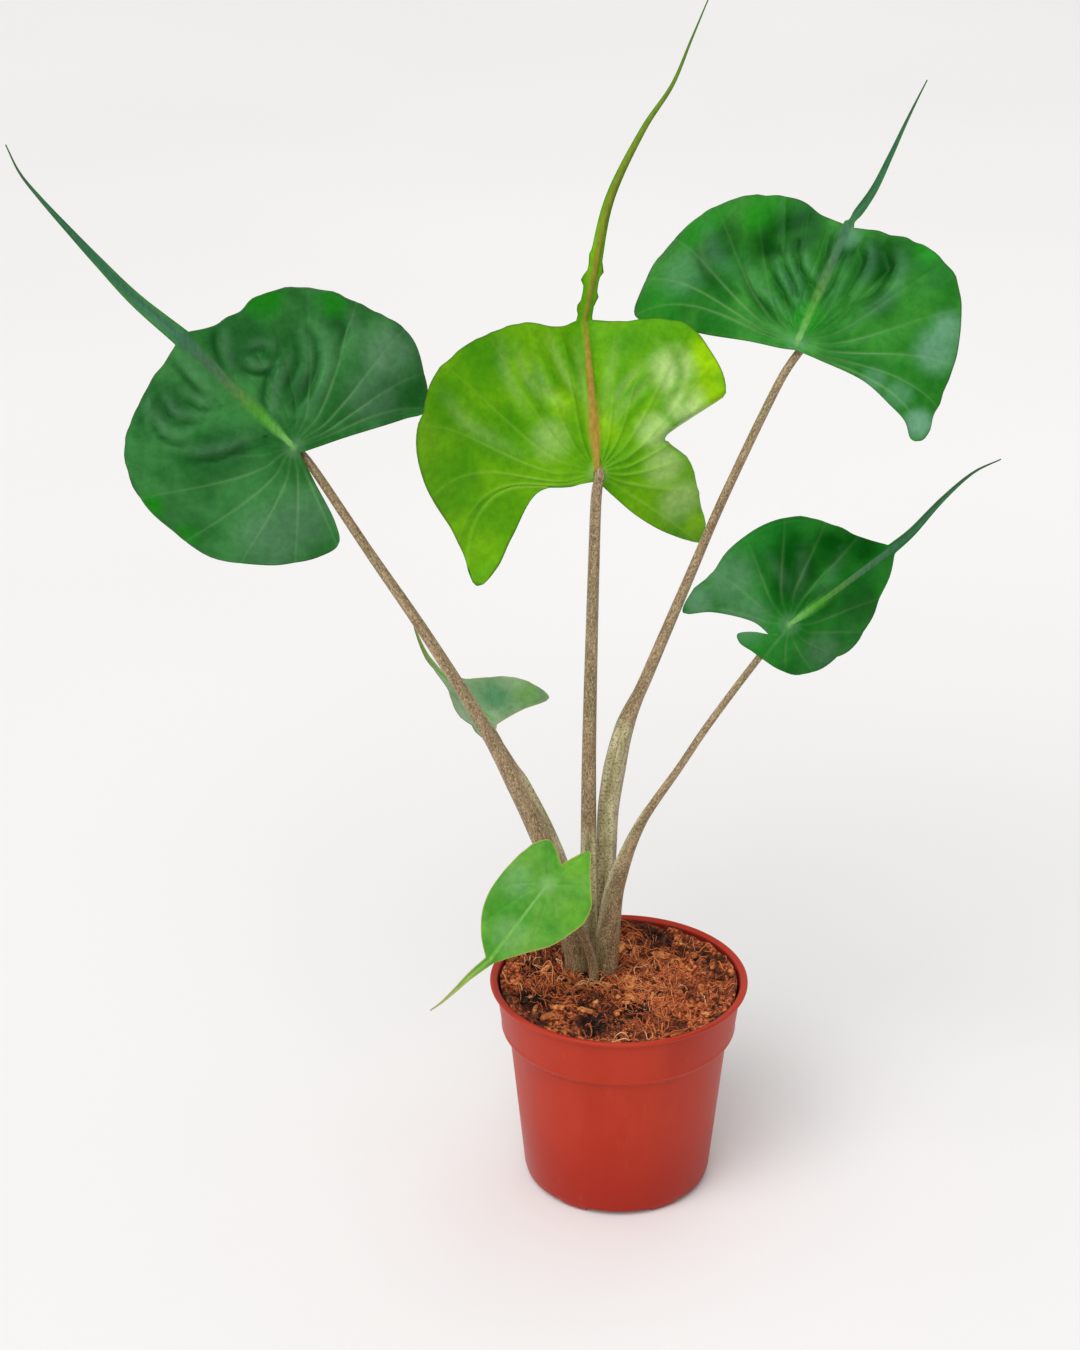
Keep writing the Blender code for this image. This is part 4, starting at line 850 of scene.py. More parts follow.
def crease_fields(leaf, flat):
    """Height of the leaf's folds at flat places, with the strength of the painted shade in each
    fold's valley and of the painted highlight on its bank. A fold is steep on its left and falls
    away slowly on its right."""
    height, valley_shade, bank_highlight = np.zeros((3, len(flat)))
    for depth, width, *stations in leaf["creases"]:
        depth, width = 1.25 * depth, 1.4 * width
        path = smooth_path([planar(angle, reach) for angle, reach in stations], 10)
        heading = np.gradient(path, axis=0)
        away = flat[:, None] - path[None]
        gaps = np.linalg.norm(away, axis=2)
        nearest = gaps.argmin(axis=1)
        gap = gaps.min(axis=1)
        offset = away[np.arange(len(flat)), nearest]
        side = heading[nearest, 0] * offset[:, 1] - heading[nearest, 1] * offset[:, 0]
        taper = np.sin(math.pi * np.clip((nearest + 1.5) / (len(path) + 2), 0.0, 1.0)) ** 0.8
        gap = gap * np.sign(side)
        crest = np.exp(-(gap / (np.where(gap > 0, 2.6, 0.75) * width)) ** 2)
        trough = np.exp(-((gap + 1.5 * width) / (1.1 * width)) ** 2)
        height += depth * taper * (0.8 * crest - 0.7 * trough)
        strength = min(1.0, depth / 1.5) * taper
        # Painted shade along the fold's valley.
        valley_shade = np.maximum(valley_shade, strength * np.exp(-((gap + 1.4 * width) / (0.8 * width)) ** 2))
        # Painted highlight on the fold's bank.
        bank_highlight = np.maximum(bank_highlight, strength * np.exp(-((gap - 0.8 * width) / width) ** 2))
    return height, valley_shade, bank_highlight


def join_halves(leaf):
    """Flat places, faces and values of both halves, welded along the midrib and behind the joint."""
    points, faces, seen, tail_row = [(0.0, 0.0)], [], {}, {}
    values = {"vein_gap": [0.0], "edge_gap": [FAR], "relief": [0.0], "rib_gap": [0.0], "row": [0.0]}
    for half in (Half(leaf, "right"), Half(leaf, "left")):
        rows, columns = half.flat.shape[:2]
        index = np.zeros((rows, columns), int)
        for i in range(rows):
            for j in range(columns):
                key = (round(half.flat[i, j, 0], 4), round(half.flat[i, j, 1], 4))
                if key not in seen:
                    seen[key] = len(points)
                    points.append(tuple(half.flat[i, j]))
                    values["row"].append(i / ROWS)
                    for name in ("vein_gap", "edge_gap", "relief", "rib_gap"):
                        values[name].append(getattr(half, name)[i, j])
                index[i, j] = seen[key]
        for j in range(columns - 1):
            hub = (0, index[0, j + 1], index[0, j])
            faces.append(hub if half.sign > 0 else hub[::-1])
            for i in range(rows - 1):
                quad = (index[i, j], index[i, j + 1], index[i + 1, j + 1], index[i + 1, j])
                faces.append(quad if half.sign > 0 else quad[::-1])
        for j in range(len(RIB_COLUMNS)):
            tail_row[half.sign * j] = index[-1, j]
    across = [tail_row[j] for j in sorted(tail_row)]
    return np.array(points), faces, {k: np.array(v) for k, v in values.items()}, across


def mean_normals(points, faces):
    """Unit normals at the points of a surface of triangles and quads."""
    normals = np.zeros_like(points)
    for corners in (3, 4):
        chosen = np.array([f for f in faces if len(f) == corners], int)
        if not len(chosen):
            continue
        a, b, c = points[chosen[:, 0]], points[chosen[:, 1]], points[chosen[:, 2]]
        normal = np.cross(b - a, c - a)
        if corners == 4:
            normal = np.cross(c - a, points[chosen[:, 3]] - b)
        for k in range(corners):
            np.add.at(normals, chosen[:, k], normal)
    return normals / np.maximum(np.linalg.norm(normals, axis=1), 1e-12)[:, None]


def tail_points(leaf, start):
    """Rows of points along the tail, carried on from the end of the midrib."""
    middle = start.mean(axis=0)
    path = evenly(smooth_path([middle] + [np.array(p, float) for p in leaf["tail"]], 12), TAIL_ROWS + 1)
    tangents = np.gradient(path, axis=0)
    side = unit(start[-1] - start[0])
    spread = np.linspace(-1.0, 1.0, len(start))
    rows = []
    for row in range(1, TAIL_ROWS + 1):
        fraction = row / TAIL_ROWS
        tangent = unit(tangents[row])
        side = unit(side - tangent * (side @ tangent))
        rise = np.cross(side, tangent)
        half_width = TAIL_TIP + (leaf["tail_half_width"] - TAIL_TIP) * (1 - fraction) ** TAIL_TAPER
        half_width *= 1 - leaf["waist"] * math.exp(-((fraction - 0.035) / 0.045) ** 2)
        ragged = {-1.0: 0.0, 1.0: 0.0}
        for place, flank, size in leaf["tail_bumps"]:
            ragged[flank] += size * math.exp(-((fraction - place) / 0.014) ** 2)
        channel = 0.42 * half_width * ease(fraction * 5.0)
        rows.append([path[row] + side * c * (half_width + ragged[math.copysign(1.0, c)] * c * c)
                     + rise * channel * (abs(c) - 0.5) for c in spread])
    return np.array(rows)


def patches(leaf, kind, flat):
    """How strongly each flat place is marked by the leaf's patches of one kind."""
    total = np.zeros(len(flat))
    for place, reach, radius, strength in leaf[kind]:
        gap = np.linalg.norm(flat - planar(place, reach), axis=1)
        total = np.maximum(total, strength * ease(1.3 - gap / radius))
    total *= 1 + 0.35 * noise_at(np.column_stack([flat, np.zeros(len(flat))]), 0.11, 4.0)
    return np.clip(total, 0.0, 1.0)


def with_tail(leaf, flat, values, width_count):
    """The blade's values carried on over the tail, whose rows have width_count points."""
    fraction = np.repeat(np.arange(1, TAIL_ROWS + 1) / TAIL_ROWS, width_count)
    spread = abs(np.tile(np.linspace(-1.0, 1.0, width_count), TAIL_ROWS))
    tail_width = leaf["tail_half_width"] * (1 - fraction) ** TAIL_TAPER + TAIL_TIP
    rib_near, rib_far = leaf["rib_width"]
    row = values["row"]
    none, full = np.zeros(len(fraction)), np.ones(len(fraction))
    parts = {
        "row": (row, full), "along": (row * 0.8, 0.8 + 0.2 * fraction),
        "vein_gap": (values["vein_gap"], full * 9.0),
        "edge_gap": (values["edge_gap"], (1 - spread) * tail_width),
        "rib_gap": (values["rib_gap"], spread * tail_width),
        "rib_half": (rib_near + (rib_far - rib_near) * row, np.minimum(rib_far, tail_width * 0.75)),
        "in_front": ((flat[:, 1] > -1.0).astype(float), full),
        "hub": (ease(1.6 - np.hypot(flat[:, 0], flat[:, 1]) / 4.0), none),
        "around": (abs(np.degrees(np.arctan2(flat[:, 0], flat[:, 1]))), none)}
    return {key: np.concatenate(part) for key, part in parts.items()}


def blade_masks(leaf, flat, v, across_rib, valley_shade, bank_highlight):
    """What the blade's materials read at each point of one skin."""
    row, first = v["row"], len(flat)
    vein = np.exp(-(v["vein_gap"] / (0.42 + 0.3 * (1 - row))) ** 2) * (1.0 - 0.8 * row)
    vein *= 0.25 + 0.75 * ease((row - 0.1) / 0.3)
    vein *= read_stations(leaf["vein_show"], v["around"])
    no_patch = np.full((len(row) - first, 2), (0.0, 400.0))
    flat_all = np.vstack([flat, no_patch])
    masks = {"rib": ease((1.0 - across_rib) * 2.5) * v["in_front"], "vein": vein, "along": v["along"],
             "edge": ease(1.15 - v["edge_gap"] / 0.5)}
    for kind in ("bright", "pale_and_sheen", "dark_and_shade"):
        masks[kind] = patches(leaf, kind, flat_all)
    # Pale colour round the joint is the midrib's own.
    masks["pale_and_sheen"] = np.maximum(masks["pale_and_sheen"], 0.25 * v["hub"])
    # Painted shade along the crease valleys.
    masks["dark_and_shade"][:first] = np.maximum(masks["dark_and_shade"][:first], 0.8 * valley_shade)
    # Painted highlight on the crease banks, with the painted sheen dimmed in the valleys.
    masks["pale_and_sheen"][:first] = np.maximum(masks["pale_and_sheen"][:first] * (1 - 0.7 * valley_shade), 0.24 * bank_highlight)
    return masks


def make_blade(name, leaf):
    """Thin closed skin: the upper face, the lower face with its ribs, and the margin between."""
    flat, faces, values, across = join_halves(leaf)
    local = blade_surface(leaf, flat)
    creased, valley_shade, bank_highlight = crease_fields(leaf, flat)
    relief = values["relief"] + creased * (0.25 + 0.75 * ease(values["edge_gap"] / 6.0))
    local = local + mean_normals(local, faces) * relief[:, None]
    points = np.array(leaf["joint"]) + local @ leaf_axes(leaf)
    tail = tail_points(leaf, points[across]).reshape(-1, 3)
    index = np.vstack([across, np.arange(len(points), len(points) + len(tail)).reshape(TAIL_ROWS, -1)])
    points = np.vstack([points, tail])
    faces += [(index[row, j], index[row, j + 1], index[row + 1, j + 1], index[row + 1, j])
              for row in range(TAIL_ROWS) for j in range(len(across) - 1)]
    normals = mean_normals(points, faces)

    v = with_tail(leaf, flat, values, len(across))
    row = v["row"]
    across_rib = np.clip(v["rib_gap"] / v["rib_half"], 0.0, 1.0)
    thick = 0.5 * np.where(v["edge_gap"] < EDGE_WIDTH, EDGE_THICKNESS, BLADE_THICKNESS)
    keel = 0.85 * np.sqrt(1 - across_rib ** 2) * v["in_front"] * np.minimum(1.0, v["rib_half"] / 1.2)
    keel += 0.5 * v["hub"]
    keel += 0.4 * np.exp(-(v["vein_gap"] / 0.8) ** 2) * (1 - 0.7 * row) * (row > 0.03)
    groove = 0.16 * np.exp(-(v["vein_gap"] / 0.7) ** 2) * (1 - 0.6 * row) * ease((row - 0.05) / 0.2)
    upper = points + normals * (thick - groove)[:, None]
    lower = points - normals * (thick + np.minimum(keel, KEEL_LIMIT))[:, None]

    below = len(points)
    sides = boundary_edges(faces)
    skins = list(faces) + [tuple(below + i for i in reversed(face)) for face in faces]
    skins += [(b, a, below + a, below + b) for a, b in sides]
    face_kinds = [0] * len(faces) + [1] * (len(faces) + len(sides))
    masks = blade_masks(leaf, flat, v, across_rib, valley_shade, bank_highlight)
    masks = {key: np.concatenate([value, value]) for key, value in masks.items()}
    upper_look, lower_look, slot = LEAF_LOOKS[name]
    mats = [blade_material(f"blade_{name}_upper", upper_look, 0.3),
            blade_material(f"blade_{name}_lower", lower_look, 0.42)]
    make_piece(f"leaf_{name}", np.vstack([upper, lower]), skins, mats, [f"blade_{name}"],
               face_kinds, masks)


def boundary_edges(faces):
    """Directed edges that only one face has."""
    edges = set()
    for face in faces:
        for k in range(len(face)):
            edges.add((face[k], face[(k + 1) % len(face)]))
    return [(a, b) for a, b in edges if (b, a) not in edges]


# Petioles

def petiole_path(leaf):
    """Middle line of a stalk, from the bottom of its socket to the blade."""
    x, y = leaf["foot"]
    joint = np.array(leaf["joint"], float)
    below = -leaf_axes(leaf)[2]
    points = [(x, y, SOCKET_FLOOR + 0.3), (x, y, COLLAR_TOP)] + list(leaf["stalk"])
    points += [tuple(joint + below * leaf["elbow"]), tuple(joint + below * UNDER_JOINT)]
    path = smooth_path(points, 14)
    path[:15, :2] = path[0, :2]
    return evenly(path, int(lengths_along(path)[-1] / PETIOLE_STEP))


def make_petiole(name, leaf, mat):
    """Stalk with its sheath: a channel between two thin wings that ends at the sheath's top."""
    path = petiole_path(leaf)
    tangents = np.gradient(path, axis=0)
    x, y = leaf["foot"]
    rise = unit((CORM_CENTRE[0] - x, CORM_CENTRE[1] - y, 0.0))
    along = lengths_along(path)
    turns = 2 * math.pi * np.arange(PETIOLE_SIDES) / PETIOLE_SIDES
    from_channel = turns - math.pi / 2
    groove = np.exp(-(from_channel / 0.42) ** 2)
    lips = np.exp(-((from_channel - 0.62) / 0.2) ** 2) + np.exp(-((from_channel + 0.62) / 0.2) ** 2)
    points, along_mm, around_mm, sheath = [], [], [], []
    for point, tangent, far in zip(path, tangents, along):
        tangent = unit(tangent)
        rise = unit(rise - tangent * (rise @ tangent))
        side = np.cross(rise, tangent)
        fraction = far / along[-1]
        radius = read_stations(leaf["girth"], fraction)
        winged = ease((fraction - 0.07) / 0.08) * (1 - ease((fraction - leaf["sheath"]) / 0.03))
        reach = radius * (1 - (0.42 * winged + 0.05) * groove + 0.22 * winged * lips)
        outward = np.cos(turns)[:, None] * side + np.sin(turns)[:, None] * rise
        points.append(point + reach[:, None] * outward)
        along_mm.append(np.full(PETIOLE_SIDES, far))
        around_mm.append(radius * turns)
        sheath.append(winged * ease(1.6 - abs(from_channel) / 1.1))
    values = {"along_mm": np.concatenate(along_mm) + 200.0 * len(name),
              "around_mm": np.concatenate(around_mm), "sheath": np.concatenate(sheath)}
    make_piece(f"stalk_{name}", np.concatenate(points), tube_faces(len(path), PETIOLE_SIDES), [mat],
               [f"petiole_{name}"], values=values, sharp_degrees=60)


# Pot


def round_corner(centre, radius, from_degrees, to_degrees, steps):
    """Arc of a profile, degrees counterclockwise from the outward direction."""
    turns = np.radians(np.linspace(from_degrees, to_degrees, steps))
    return [(centre[0] + radius * math.cos(t), centre[1] + radius * math.sin(t)) for t in turns]


def pot_profile():
    """Outer and inner profile as (radius, height), up the outside and down the inside."""
    band_foot = POT_HEIGHT - POT_BAND_DEPTH
    step = POT_HEIGHT - POT_STEP_DEPTH
    body = [(POT_BODY_FOOT_RADIUS + (POT_STEP_RADIUS - POT_BODY_FOOT_RADIUS) * t, 6.0 + (step - 6.0) * t)
            for t in (0.0, 0.25, 0.5, 0.75, 0.96)]
    outside = [(34.5, 0.0), (37.0, 0.0), (39.6, 0.0), (41.2, 0.35), (42.4, 1.4), (43.2, 3.0)] + body
    outside += [(51.15, step - 0.1), (51.9, step + 0.5), (53.6, band_foot - 0.5), (54.4, band_foot + 0.3)]
    outside += [(54.75, band_foot + 1.3), (54.62, band_foot + 2.2), (54.72, band_foot + 3.4)]
    outside += [(56.9, 99.6), (57.1, 100.6), (57.7, 101.1)]
    outside += round_corner((58.95, 102.9), 1.05, -75, 110, 9)
    outside += [(58.0, 103.5), (57.0, 103.2)]
    inside = [(56.5, 102.9), (56.2, 102.3)]
    inside += [(POT_BAND_TOP_RADIUS - POT_WALL, 100.8),
               (POT_BAND_FOOT_RADIUS - POT_WALL, band_foot + 0.5),
               (POT_STEP_RADIUS - POT_WALL, step + 0.6), (POT_BODY_FOOT_RADIUS - POT_WALL, 6.0),
               (41.2, 2.6), (36.2, POT_FLOOR), (34.2, POT_FLOOR)]
    return outside, inside


def foot_lift(radius, height, turn):
    """The base is raised between its feet, with soft ends; one raised stretch is at the front."""
    if radius < 35.5 or height > 2.9:
        return 0.0
    period = 2 * math.pi / FOOT_COUNT
    from_middle = abs((turn + period / 2) % period - period / 2) / period
    return 2.0 * ease((0.36 - from_middle) / 0.04)


def turned(profile, sides, lift=None):
    """Solid of revolution. The profile runs from the lower to the upper pole, up the outside."""
    points = [(0.0, 0.0, profile[0][1])]
    for radius, height in profile[1:-1]:
        for side in range(sides):
            turn = 2 * math.pi * side / sides
            z = height + (lift(radius, height, turn) if lift else 0.0)
            points.append((radius * math.sin(turn), -radius * math.cos(turn), z))
    points.append((0.0, 0.0, profile[-1][1]))
    rings = len(profile) - 2
    faces = []
    for side in range(sides):
        turn = (side + 1) % sides
        faces.append((0, 1 + turn, 1 + side))
        for ring in range(rings - 1):
            low = 1 + ring * sides
            high = low + sides
            faces.append((low + side, low + turn, high + turn, high + side))
        top = 1 + (rings - 1) * sides
        faces.append((top + side, top + turn, len(points) - 1))
    return points, faces


def make_pot():
    outside, inside = pot_profile()
    profile = [(0.0, 0.0), *outside, *inside, (0.0, POT_FLOOR)]
    points, faces = turned(profile, POT_SIDES, lift=foot_lift)
    height = [p[2] for p in points]
    # Points of the inner wall get the painted shade.
    inside_shade = [float(k > len(outside) * POT_SIDES) for k in range(len(points))]
    pot = make_piece("nursery_pot", points, faces, [pot_material()], ["pot"],
                     values={"height": height, "inside": inside_shade}, sharp_degrees=38)
    for foot in range(FOOT_COUNT):
        turn = 2 * math.pi * foot / FOOT_COUNT
        place = (DRAIN_CIRCLE * MM * math.sin(turn), -DRAIN_CIRCLE * MM * math.cos(turn), 2.5 * MM)
        bpy.ops.mesh.primitive_cylinder_add(vertices=24, radius=DRAIN_RADIUS * MM, depth=9 * MM,
                                            location=place)
        cutter = bpy.context.object
        cut = pot.modifiers.new("Drain", "BOOLEAN")
        cut.operation = "DIFFERENCE"
        cut.object = cutter
        bpy.context.view_layer.objects.active = pot
        with bpy.context.temp_override(object=pot):
            bpy.ops.object.modifier_apply(modifier=cut.name)
        bpy.data.objects.remove(cutter)


# Potting mix

def soil_height(x, y):
    bumps = (math.sin(0.21 * x + 0.9) * math.cos(0.26 * y - 0.4) + 0.7 * math.sin(0.43 * x - 0.35 * y)
             + 0.5 * math.cos(0.61 * y + 0.38 * x + 1.7))
    from_stem = math.hypot(x - CORM_CENTRE[0], y - CORM_CENTRE[1])
    return SOIL_LEVEL + 0.66 * bumps + 1.2 * math.exp(-(from_stem / 26.0) ** 2)


def damp(x, y):
    """How far a spot lies inside one of the mix's dark damp patches, from 0 to 1."""
    return max(ease(1.5 - math.hypot(x - cx, y - cy) / radius) for cx, cy, radius in DAMP_PATCHES)


def crumbly_height(x, y):
    """Height of the mix's surface, which steps up a little at the pot's wall."""
    place = Vector((x, y, 0.0))
    lumps = noise.fractal(place * 0.2, 0.75, 2.1, 5)
    clods = 1.0 - 2.0 * noise.voronoi(place * 0.24)[0][0]
    edge = ease((SOIL_EDGE - math.hypot(x, y)) / 5.0)
    return soil_height(x, y) + (0.25 + 0.75 * edge) * (1.8 * lumps + 1.8 * clods) + 4.1 - 2.0 * edge


def make_mix():
    low = [(32.9, POT_FLOOR + 0.3), (34.7, POT_FLOOR + 2.5), (39.6, POT_FLOOR + 3.3),
           (POT_BODY_FOOT_RADIUS - POT_WALL - 0.3, 6.0), (49.55, 76.7), (52.95, 79.6)]
    radii = [55.2] + [54.4 - 0.62 * k for k in range(87)]
    profile = [(0.0, POT_FLOOR + 0.3)] + low + [(r, SOIL_LEVEL) for r in radii] + [(0.0, SOIL_LEVEL)]
    points, faces = turned(profile, MIX_SIDES)
    points = [list(p) for p in points]
    for p in points[1 + len(low) * MIX_SIDES:]:
        p[2] = crumbly_height(p[0], p[1])
    mat = soil_material("coir_mix_crumb", srgb(30, 13, 9), srgb(150, 70, 36), srgb(232, 138, 82), 2.2,
                        with_damp_and_shade=True)
    # Painted shade where the surface dips below the smooth level, together with the damp patches.
    damp_and_hollow_shade = [max(0.9 * ease((soil_height(p[0], p[1]) + 1.7 - p[2]) / 2.4), damp(p[0], p[1]))
              for p in points]
    make_piece("mix_surface", points, faces, [mat], ["potting_mix"],
               values={"damp_and_hollow_shade": damp_and_hollow_shade})


def petiole_clear(x, y, margin):
    return all(math.hypot(x - leaf["foot"][0], y - leaf["foot"][1]) > margin + leaf["girth"][0][1]
               for leaf in LEAVES.values())


def random_spot(draw, limit, margin):
    """A spot within limit of the pot's axis that keeps a margin from every stalk."""
    while True:
        turn = draw.uniform(0, 2 * math.pi)
        radius = limit * math.sqrt(draw.uniform(0, 1))
        x, y = radius * math.cos(turn), radius * math.sin(turn)
        if petiole_clear(x, y, margin):
            return x, y


def lump(centre, sizes, draw, rings=4, sides=7):
    """Closed rough pebble."""
    turn, lean = draw.uniform(0, math.pi), draw.uniform(-0.5, 0.5)
    points = []
    for ring in range(1, rings):
        polar = math.pi * ring / rings
        for k in range(sides):
            around = 2 * math.pi * k / sides
            rough = draw.uniform(0.78, 1.15)
            x = sizes[0] * math.sin(polar) * math.cos(around) * rough
            y = sizes[1] * math.sin(polar) * math.sin(around) * rough
            z = sizes[2] * math.cos(polar) * rough
            x, z = x * math.cos(lean) - z * math.sin(lean), x * math.sin(lean) + z * math.cos(lean)
            points.append((centre[0] + x * math.cos(turn) - y * math.sin(turn),
                           centre[1] + x * math.sin(turn) + y * math.cos(turn), centre[2] + z))
    top = len(points)
    points.append((centre[0], centre[1], centre[2] + sizes[2] * 0.9))
    points.append((centre[0], centre[1], centre[2] - sizes[2] * 0.9))
    faces = []
    for k in range(sides):
        turn_to = (k + 1) % sides
        faces.append((top, k, turn_to))
        for ring in range(rings - 2):
            a, b = ring * sides, (ring + 1) * sides
            faces.append((a + k, b + k, b + turn_to, a + turn_to))
        last = (rings - 2) * sides
        faces.append((last + k, top + 1, last + turn_to))
    return points, faces


def strand(draw, start, heading):
    """Coir strand lying on and in the mix: its path and its radii."""
    x, y = start
    length = draw.choice((6.0, 9.0, 13.0, 18.0, 26.0))
    steps = max(8, int(length / 1.3))
    loose = draw.random() < 0.16
    curl = draw.uniform(-0.2, 0.2) if loose else draw.uniform(-0.05, 0.05)
    waver = 0.3 if loose else 0.13
    rise = draw.uniform(1.5, 5.0) if loose else draw.uniform(0.1, 1.7)
    path = []
    for step in range(steps + 1):
        t = step / steps
        heading += curl + draw.uniform(-waver, waver)
        x += length / steps * math.cos(heading)
        y += length / steps * math.sin(heading)
        outside = math.hypot(x, y) / 54.0
        if outside > 1.0:
            x, y = x / outside, y / outside
        arch = rise * math.sin(math.pi * t)
        path.append((x, y, crumbly_height(x, y) - 0.5 + arch + draw.uniform(-0.12, 0.12)))
    path = smooth_path(path, 2)
    radius = draw.choice((0.13, 0.17, 0.22, 0.3))
    radii = radius * np.interp(np.linspace(0, 1, len(path)), (0, 0.15, 0.85, 1), (0.45, 1, 1, 0.3))
    return path, radii


def tube(path, radii, sides=4):
    """Closed tube of that many sides along a path."""
    tangents = np.gradient(path, axis=0)
    rise = UP
    points = []
    for point, radius, tangent in zip(path, radii, tangents):
        tangent = unit(tangent)
        rise = rise - tangent * (rise @ tangent)
        if np.linalg.norm(rise) < 1e-3:
            rise = np.cross(tangent, (1.0, 0.3, 0.2))
        rise = unit(rise)
        side = np.cross(rise, tangent)
        for k in range(sides):
            turn = 2 * math.pi * k / sides
            points.append(point + radius * (math.cos(turn) * side + math.sin(turn) * rise))
    return points, tube_faces(len(path), sides)


class Heap:
    """Many small closed shapes gathered into one piece."""

    def __init__(self):
        self.points, self.faces, self.tones = [], [], []

    def add(self, shape, tone=0.0):
        points, faces = shape
        start = len(self.points)
        self.points += list(points)
        self.faces += [tuple(start + i for i in face) for face in faces]
        self.tones += [tone] * len(points)


def make_strands(draw):
    strands = Heap()
    for tuft in range(TUFT_COUNT):
        x, y = random_spot(draw, 51.0, 1.5)
        if tuft < FOOT_TUFTS:
            x, y = CORM_CENTRE[0] + draw.gauss(3, 10), CORM_CENTRE[1] + draw.gauss(-13, 5)
        heading = draw.uniform(0, 2 * math.pi)
        tone = draw.uniform(0.15, 0.9) * (1.0 - 0.8 * damp(x, y))
        for _ in range(draw.choice((3, 6, 10, 14))):
            start = (x + draw.gauss(0, 2.6), y + draw.gauss(0, 2.6))
            if petiole_clear(*start, 1.2):
                path, radii = strand(draw, start, heading + draw.gauss(0, 0.3))
                strands.add(tube(path, radii), min(1.0, max(0.0, tone + draw.gauss(0, 0.16))))
    make_piece("coir_strands", strands.points, strands.faces, [strand_material()],
               values={"tone": strands.tones})


def make_crumbs(draw):
    crumbs = Heap()
    for _ in range(CRUMB_COUNT):
        x, y = random_spot(draw, 53.0, 0.6)
        size = 0.6 + 1.5 * draw.random() ** 2
        centre = (x, y, crumbly_height(x, y) - 0.1 * size)
        sizes = (size, size * draw.uniform(0.6, 1.0), size * draw.uniform(0.5, 0.8))
        crumbs.add(lump(centre, sizes, draw), damp(x, y))
    mat = soil_material("mix_crumb", srgb(34, 15, 10), srgb(158, 76, 40), srgb(232, 138, 82), 1.3,
                        with_damp_and_shade=True)
    # The crumbs darken with damp only.
    make_piece("mix_crumbs", crumbs.points, crumbs.faces, [mat],
               values={"damp_and_hollow_shade": crumbs.tones})


def make_chips(draw):
    chips = Heap()
    for _ in range(CHIP_COUNT):
        x, y = random_spot(draw, 50.0, 2.0)
        size = draw.uniform(2.2, 5.2)
        centre = (x, y, crumbly_height(x, y) + 0.5)
        sizes = (size, size * draw.uniform(0.35, 0.7), draw.uniform(0.7, 1.4))
        chips.add(lump(centre, sizes, draw, 5, 9))
    centre = (*LARGE_CHIP, crumbly_height(*LARGE_CHIP) + 1.6)
    chips.add(lump(centre, (4.6, 3.2, 2.4), draw, 6, 11))
    mat = soil_material("husk_chip", srgb(150, 74, 34), srgb(222, 132, 68), srgb(246, 184, 122), 1.8)
    make_piece("husk_chips", chips.points, chips.faces, [mat], sharp_degrees=35)


def make_char(draw):
    char = Heap()
    for x0, y0, spread, count in CHAR_SPOTS:
        for _ in range(count):
            x, y = x0 + draw.gauss(0, spread), y0 + draw.gauss(0, spread)
            if math.hypot(x, y) < 52.0 and petiole_clear(x, y, 1.0):
                size = draw.uniform(0.8, 2.8)
                centre = (x, y, crumbly_height(x, y) + 0.1)
                char.add(lump(centre, (size, size * draw.uniform(0.4, 0.8), size * 0.35), draw))
    mat = soil_material("mix_char", srgb(20, 13, 12), srgb(40, 28, 25), srgb(70, 48, 40), 1.2)
    make_piece("char_bits", char.points, char.faces, [mat], sharp_degrees=35)


# Setting

def make_camera():
    camera = bpy.data.objects.new("camera", bpy.data.cameras.new("camera"))
    bpy.context.scene.collection.objects.link(camera)
    pitch = math.radians(CAMERA_PITCH)
    target = np.array(CAMERA_TARGET)
    place = target + CAMERA_DISTANCE * np.array((0.0, -math.cos(pitch), math.sin(pitch)))
    camera.location = place * MM
    camera.rotation_euler = (math.pi / 2 - pitch, 0.0, 0.0)
    camera.data.lens = CAMERA_LENS
    camera.data.sensor_width = CAMERA_SENSOR
    camera.data.sensor_fit = "AUTO"
    camera.data.clip_end = 60.0
    bpy.context.scene.camera = camera


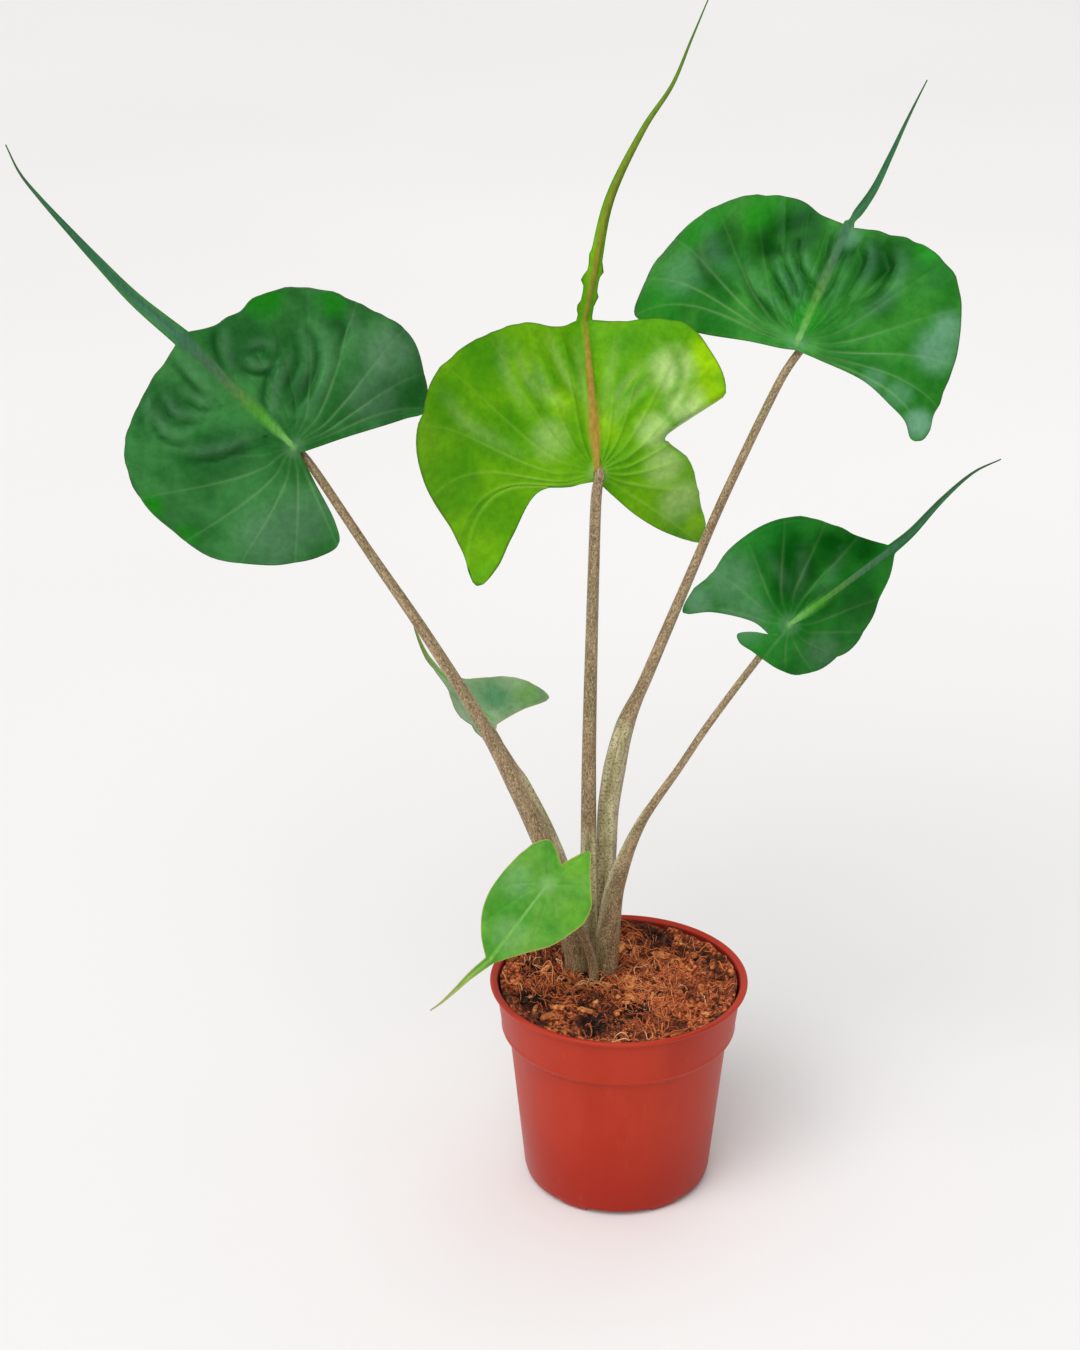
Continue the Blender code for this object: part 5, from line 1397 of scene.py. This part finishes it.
def make_floor():
    corners = [(x * FLOOR_REACH, y * FLOOR_REACH, 0) for x, y in ((-1, -1), (1, -1), (1, 1), (-1, 1))]
    mesh = bpy.data.meshes.new("floor")
    mesh.from_pydata(corners, [], [(0, 1, 2, 3)])
    n = Nodes("floor_pale")
    cloud = n.levels(n.noise(n.position(900.0), 2.0), 0.3, 0.7)
    mesh.materials.append(n.finish(n.mix(cloud, srgb(238, 237, 236), srgb(241, 240, 239)), 0.9,
                                   **{"Specular IOR Level": 0.1}))
    floor = bpy.data.objects.new("floor", mesh)
    bpy.context.scene.collection.objects.link(floor)


def area_light(name, place, size, power, colour=(1.0, 1.0, 1.0)):
    light = bpy.data.lights.new(name, "AREA")
    light.shape = "RECTANGLE"
    light.size, light.size_y = size
    light.energy = power
    light.color = colour
    lamp = bpy.data.objects.new(name, light)
    lamp.location = place
    lamp.rotation_euler = (Vector(LIT_PLACE) - Vector(place)).to_track_quat("-Z", "Y").to_euler()
    bpy.context.scene.collection.objects.link(lamp)


def make_lights():
    world = bpy.data.worlds.new("studio")
    world.use_nodes = True
    background = world.node_tree.nodes["Background"]
    background.inputs["Color"].default_value = (1.0, 0.99, 0.985, 1.0)
    background.inputs["Strength"].default_value = SKY_STRENGTH
    bpy.context.scene.world = world
    sun = bpy.data.objects.new("soft_sun", bpy.data.lights.new("soft_sun", "SUN"))
    sun.data.energy = SUN_STRENGTH
    sun.data.angle = math.radians(SUN_SPREAD)
    sun.rotation_euler = (*np.radians(SUN_TURN), 0.0)
    bpy.context.scene.collection.objects.link(sun)
    area_light("key", (-0.9, -1.1, 1.9), (0.7, 0.7), 4.0)
    area_light("back", (0.5, 1.1, 1.7), (1.0, 0.6), 2.5, (0.9, 0.97, 1.0))


def set_view():
    bpy.context.scene.view_settings.view_transform = "Standard"


for spare in [o for o in bpy.data.objects if o.type in ("CAMERA", "LIGHT") or o.name == "Cube"]:
    bpy.data.objects.remove(spare)
make_camera()
make_pot()
make_mix()
shared_draw = random.Random(41)
for make_heap in (make_strands, make_crumbs, make_chips, make_char):
    make_heap(shared_draw)
frame["nodes"]["corm"].data.materials.clear()
frame["nodes"]["corm"].data.materials.append(
    soil_material("corm_skin", srgb(70, 50, 36), srgb(112, 84, 58), srgb(150, 120, 84), 3.0))
stalk_skin = petiole_material()
for leaf_name, leaf_data in LEAVES.items():
    make_petiole(leaf_name, leaf_data, stalk_skin)
    make_blade(leaf_name, leaf_data)
make_floor()
make_lights()
set_view()
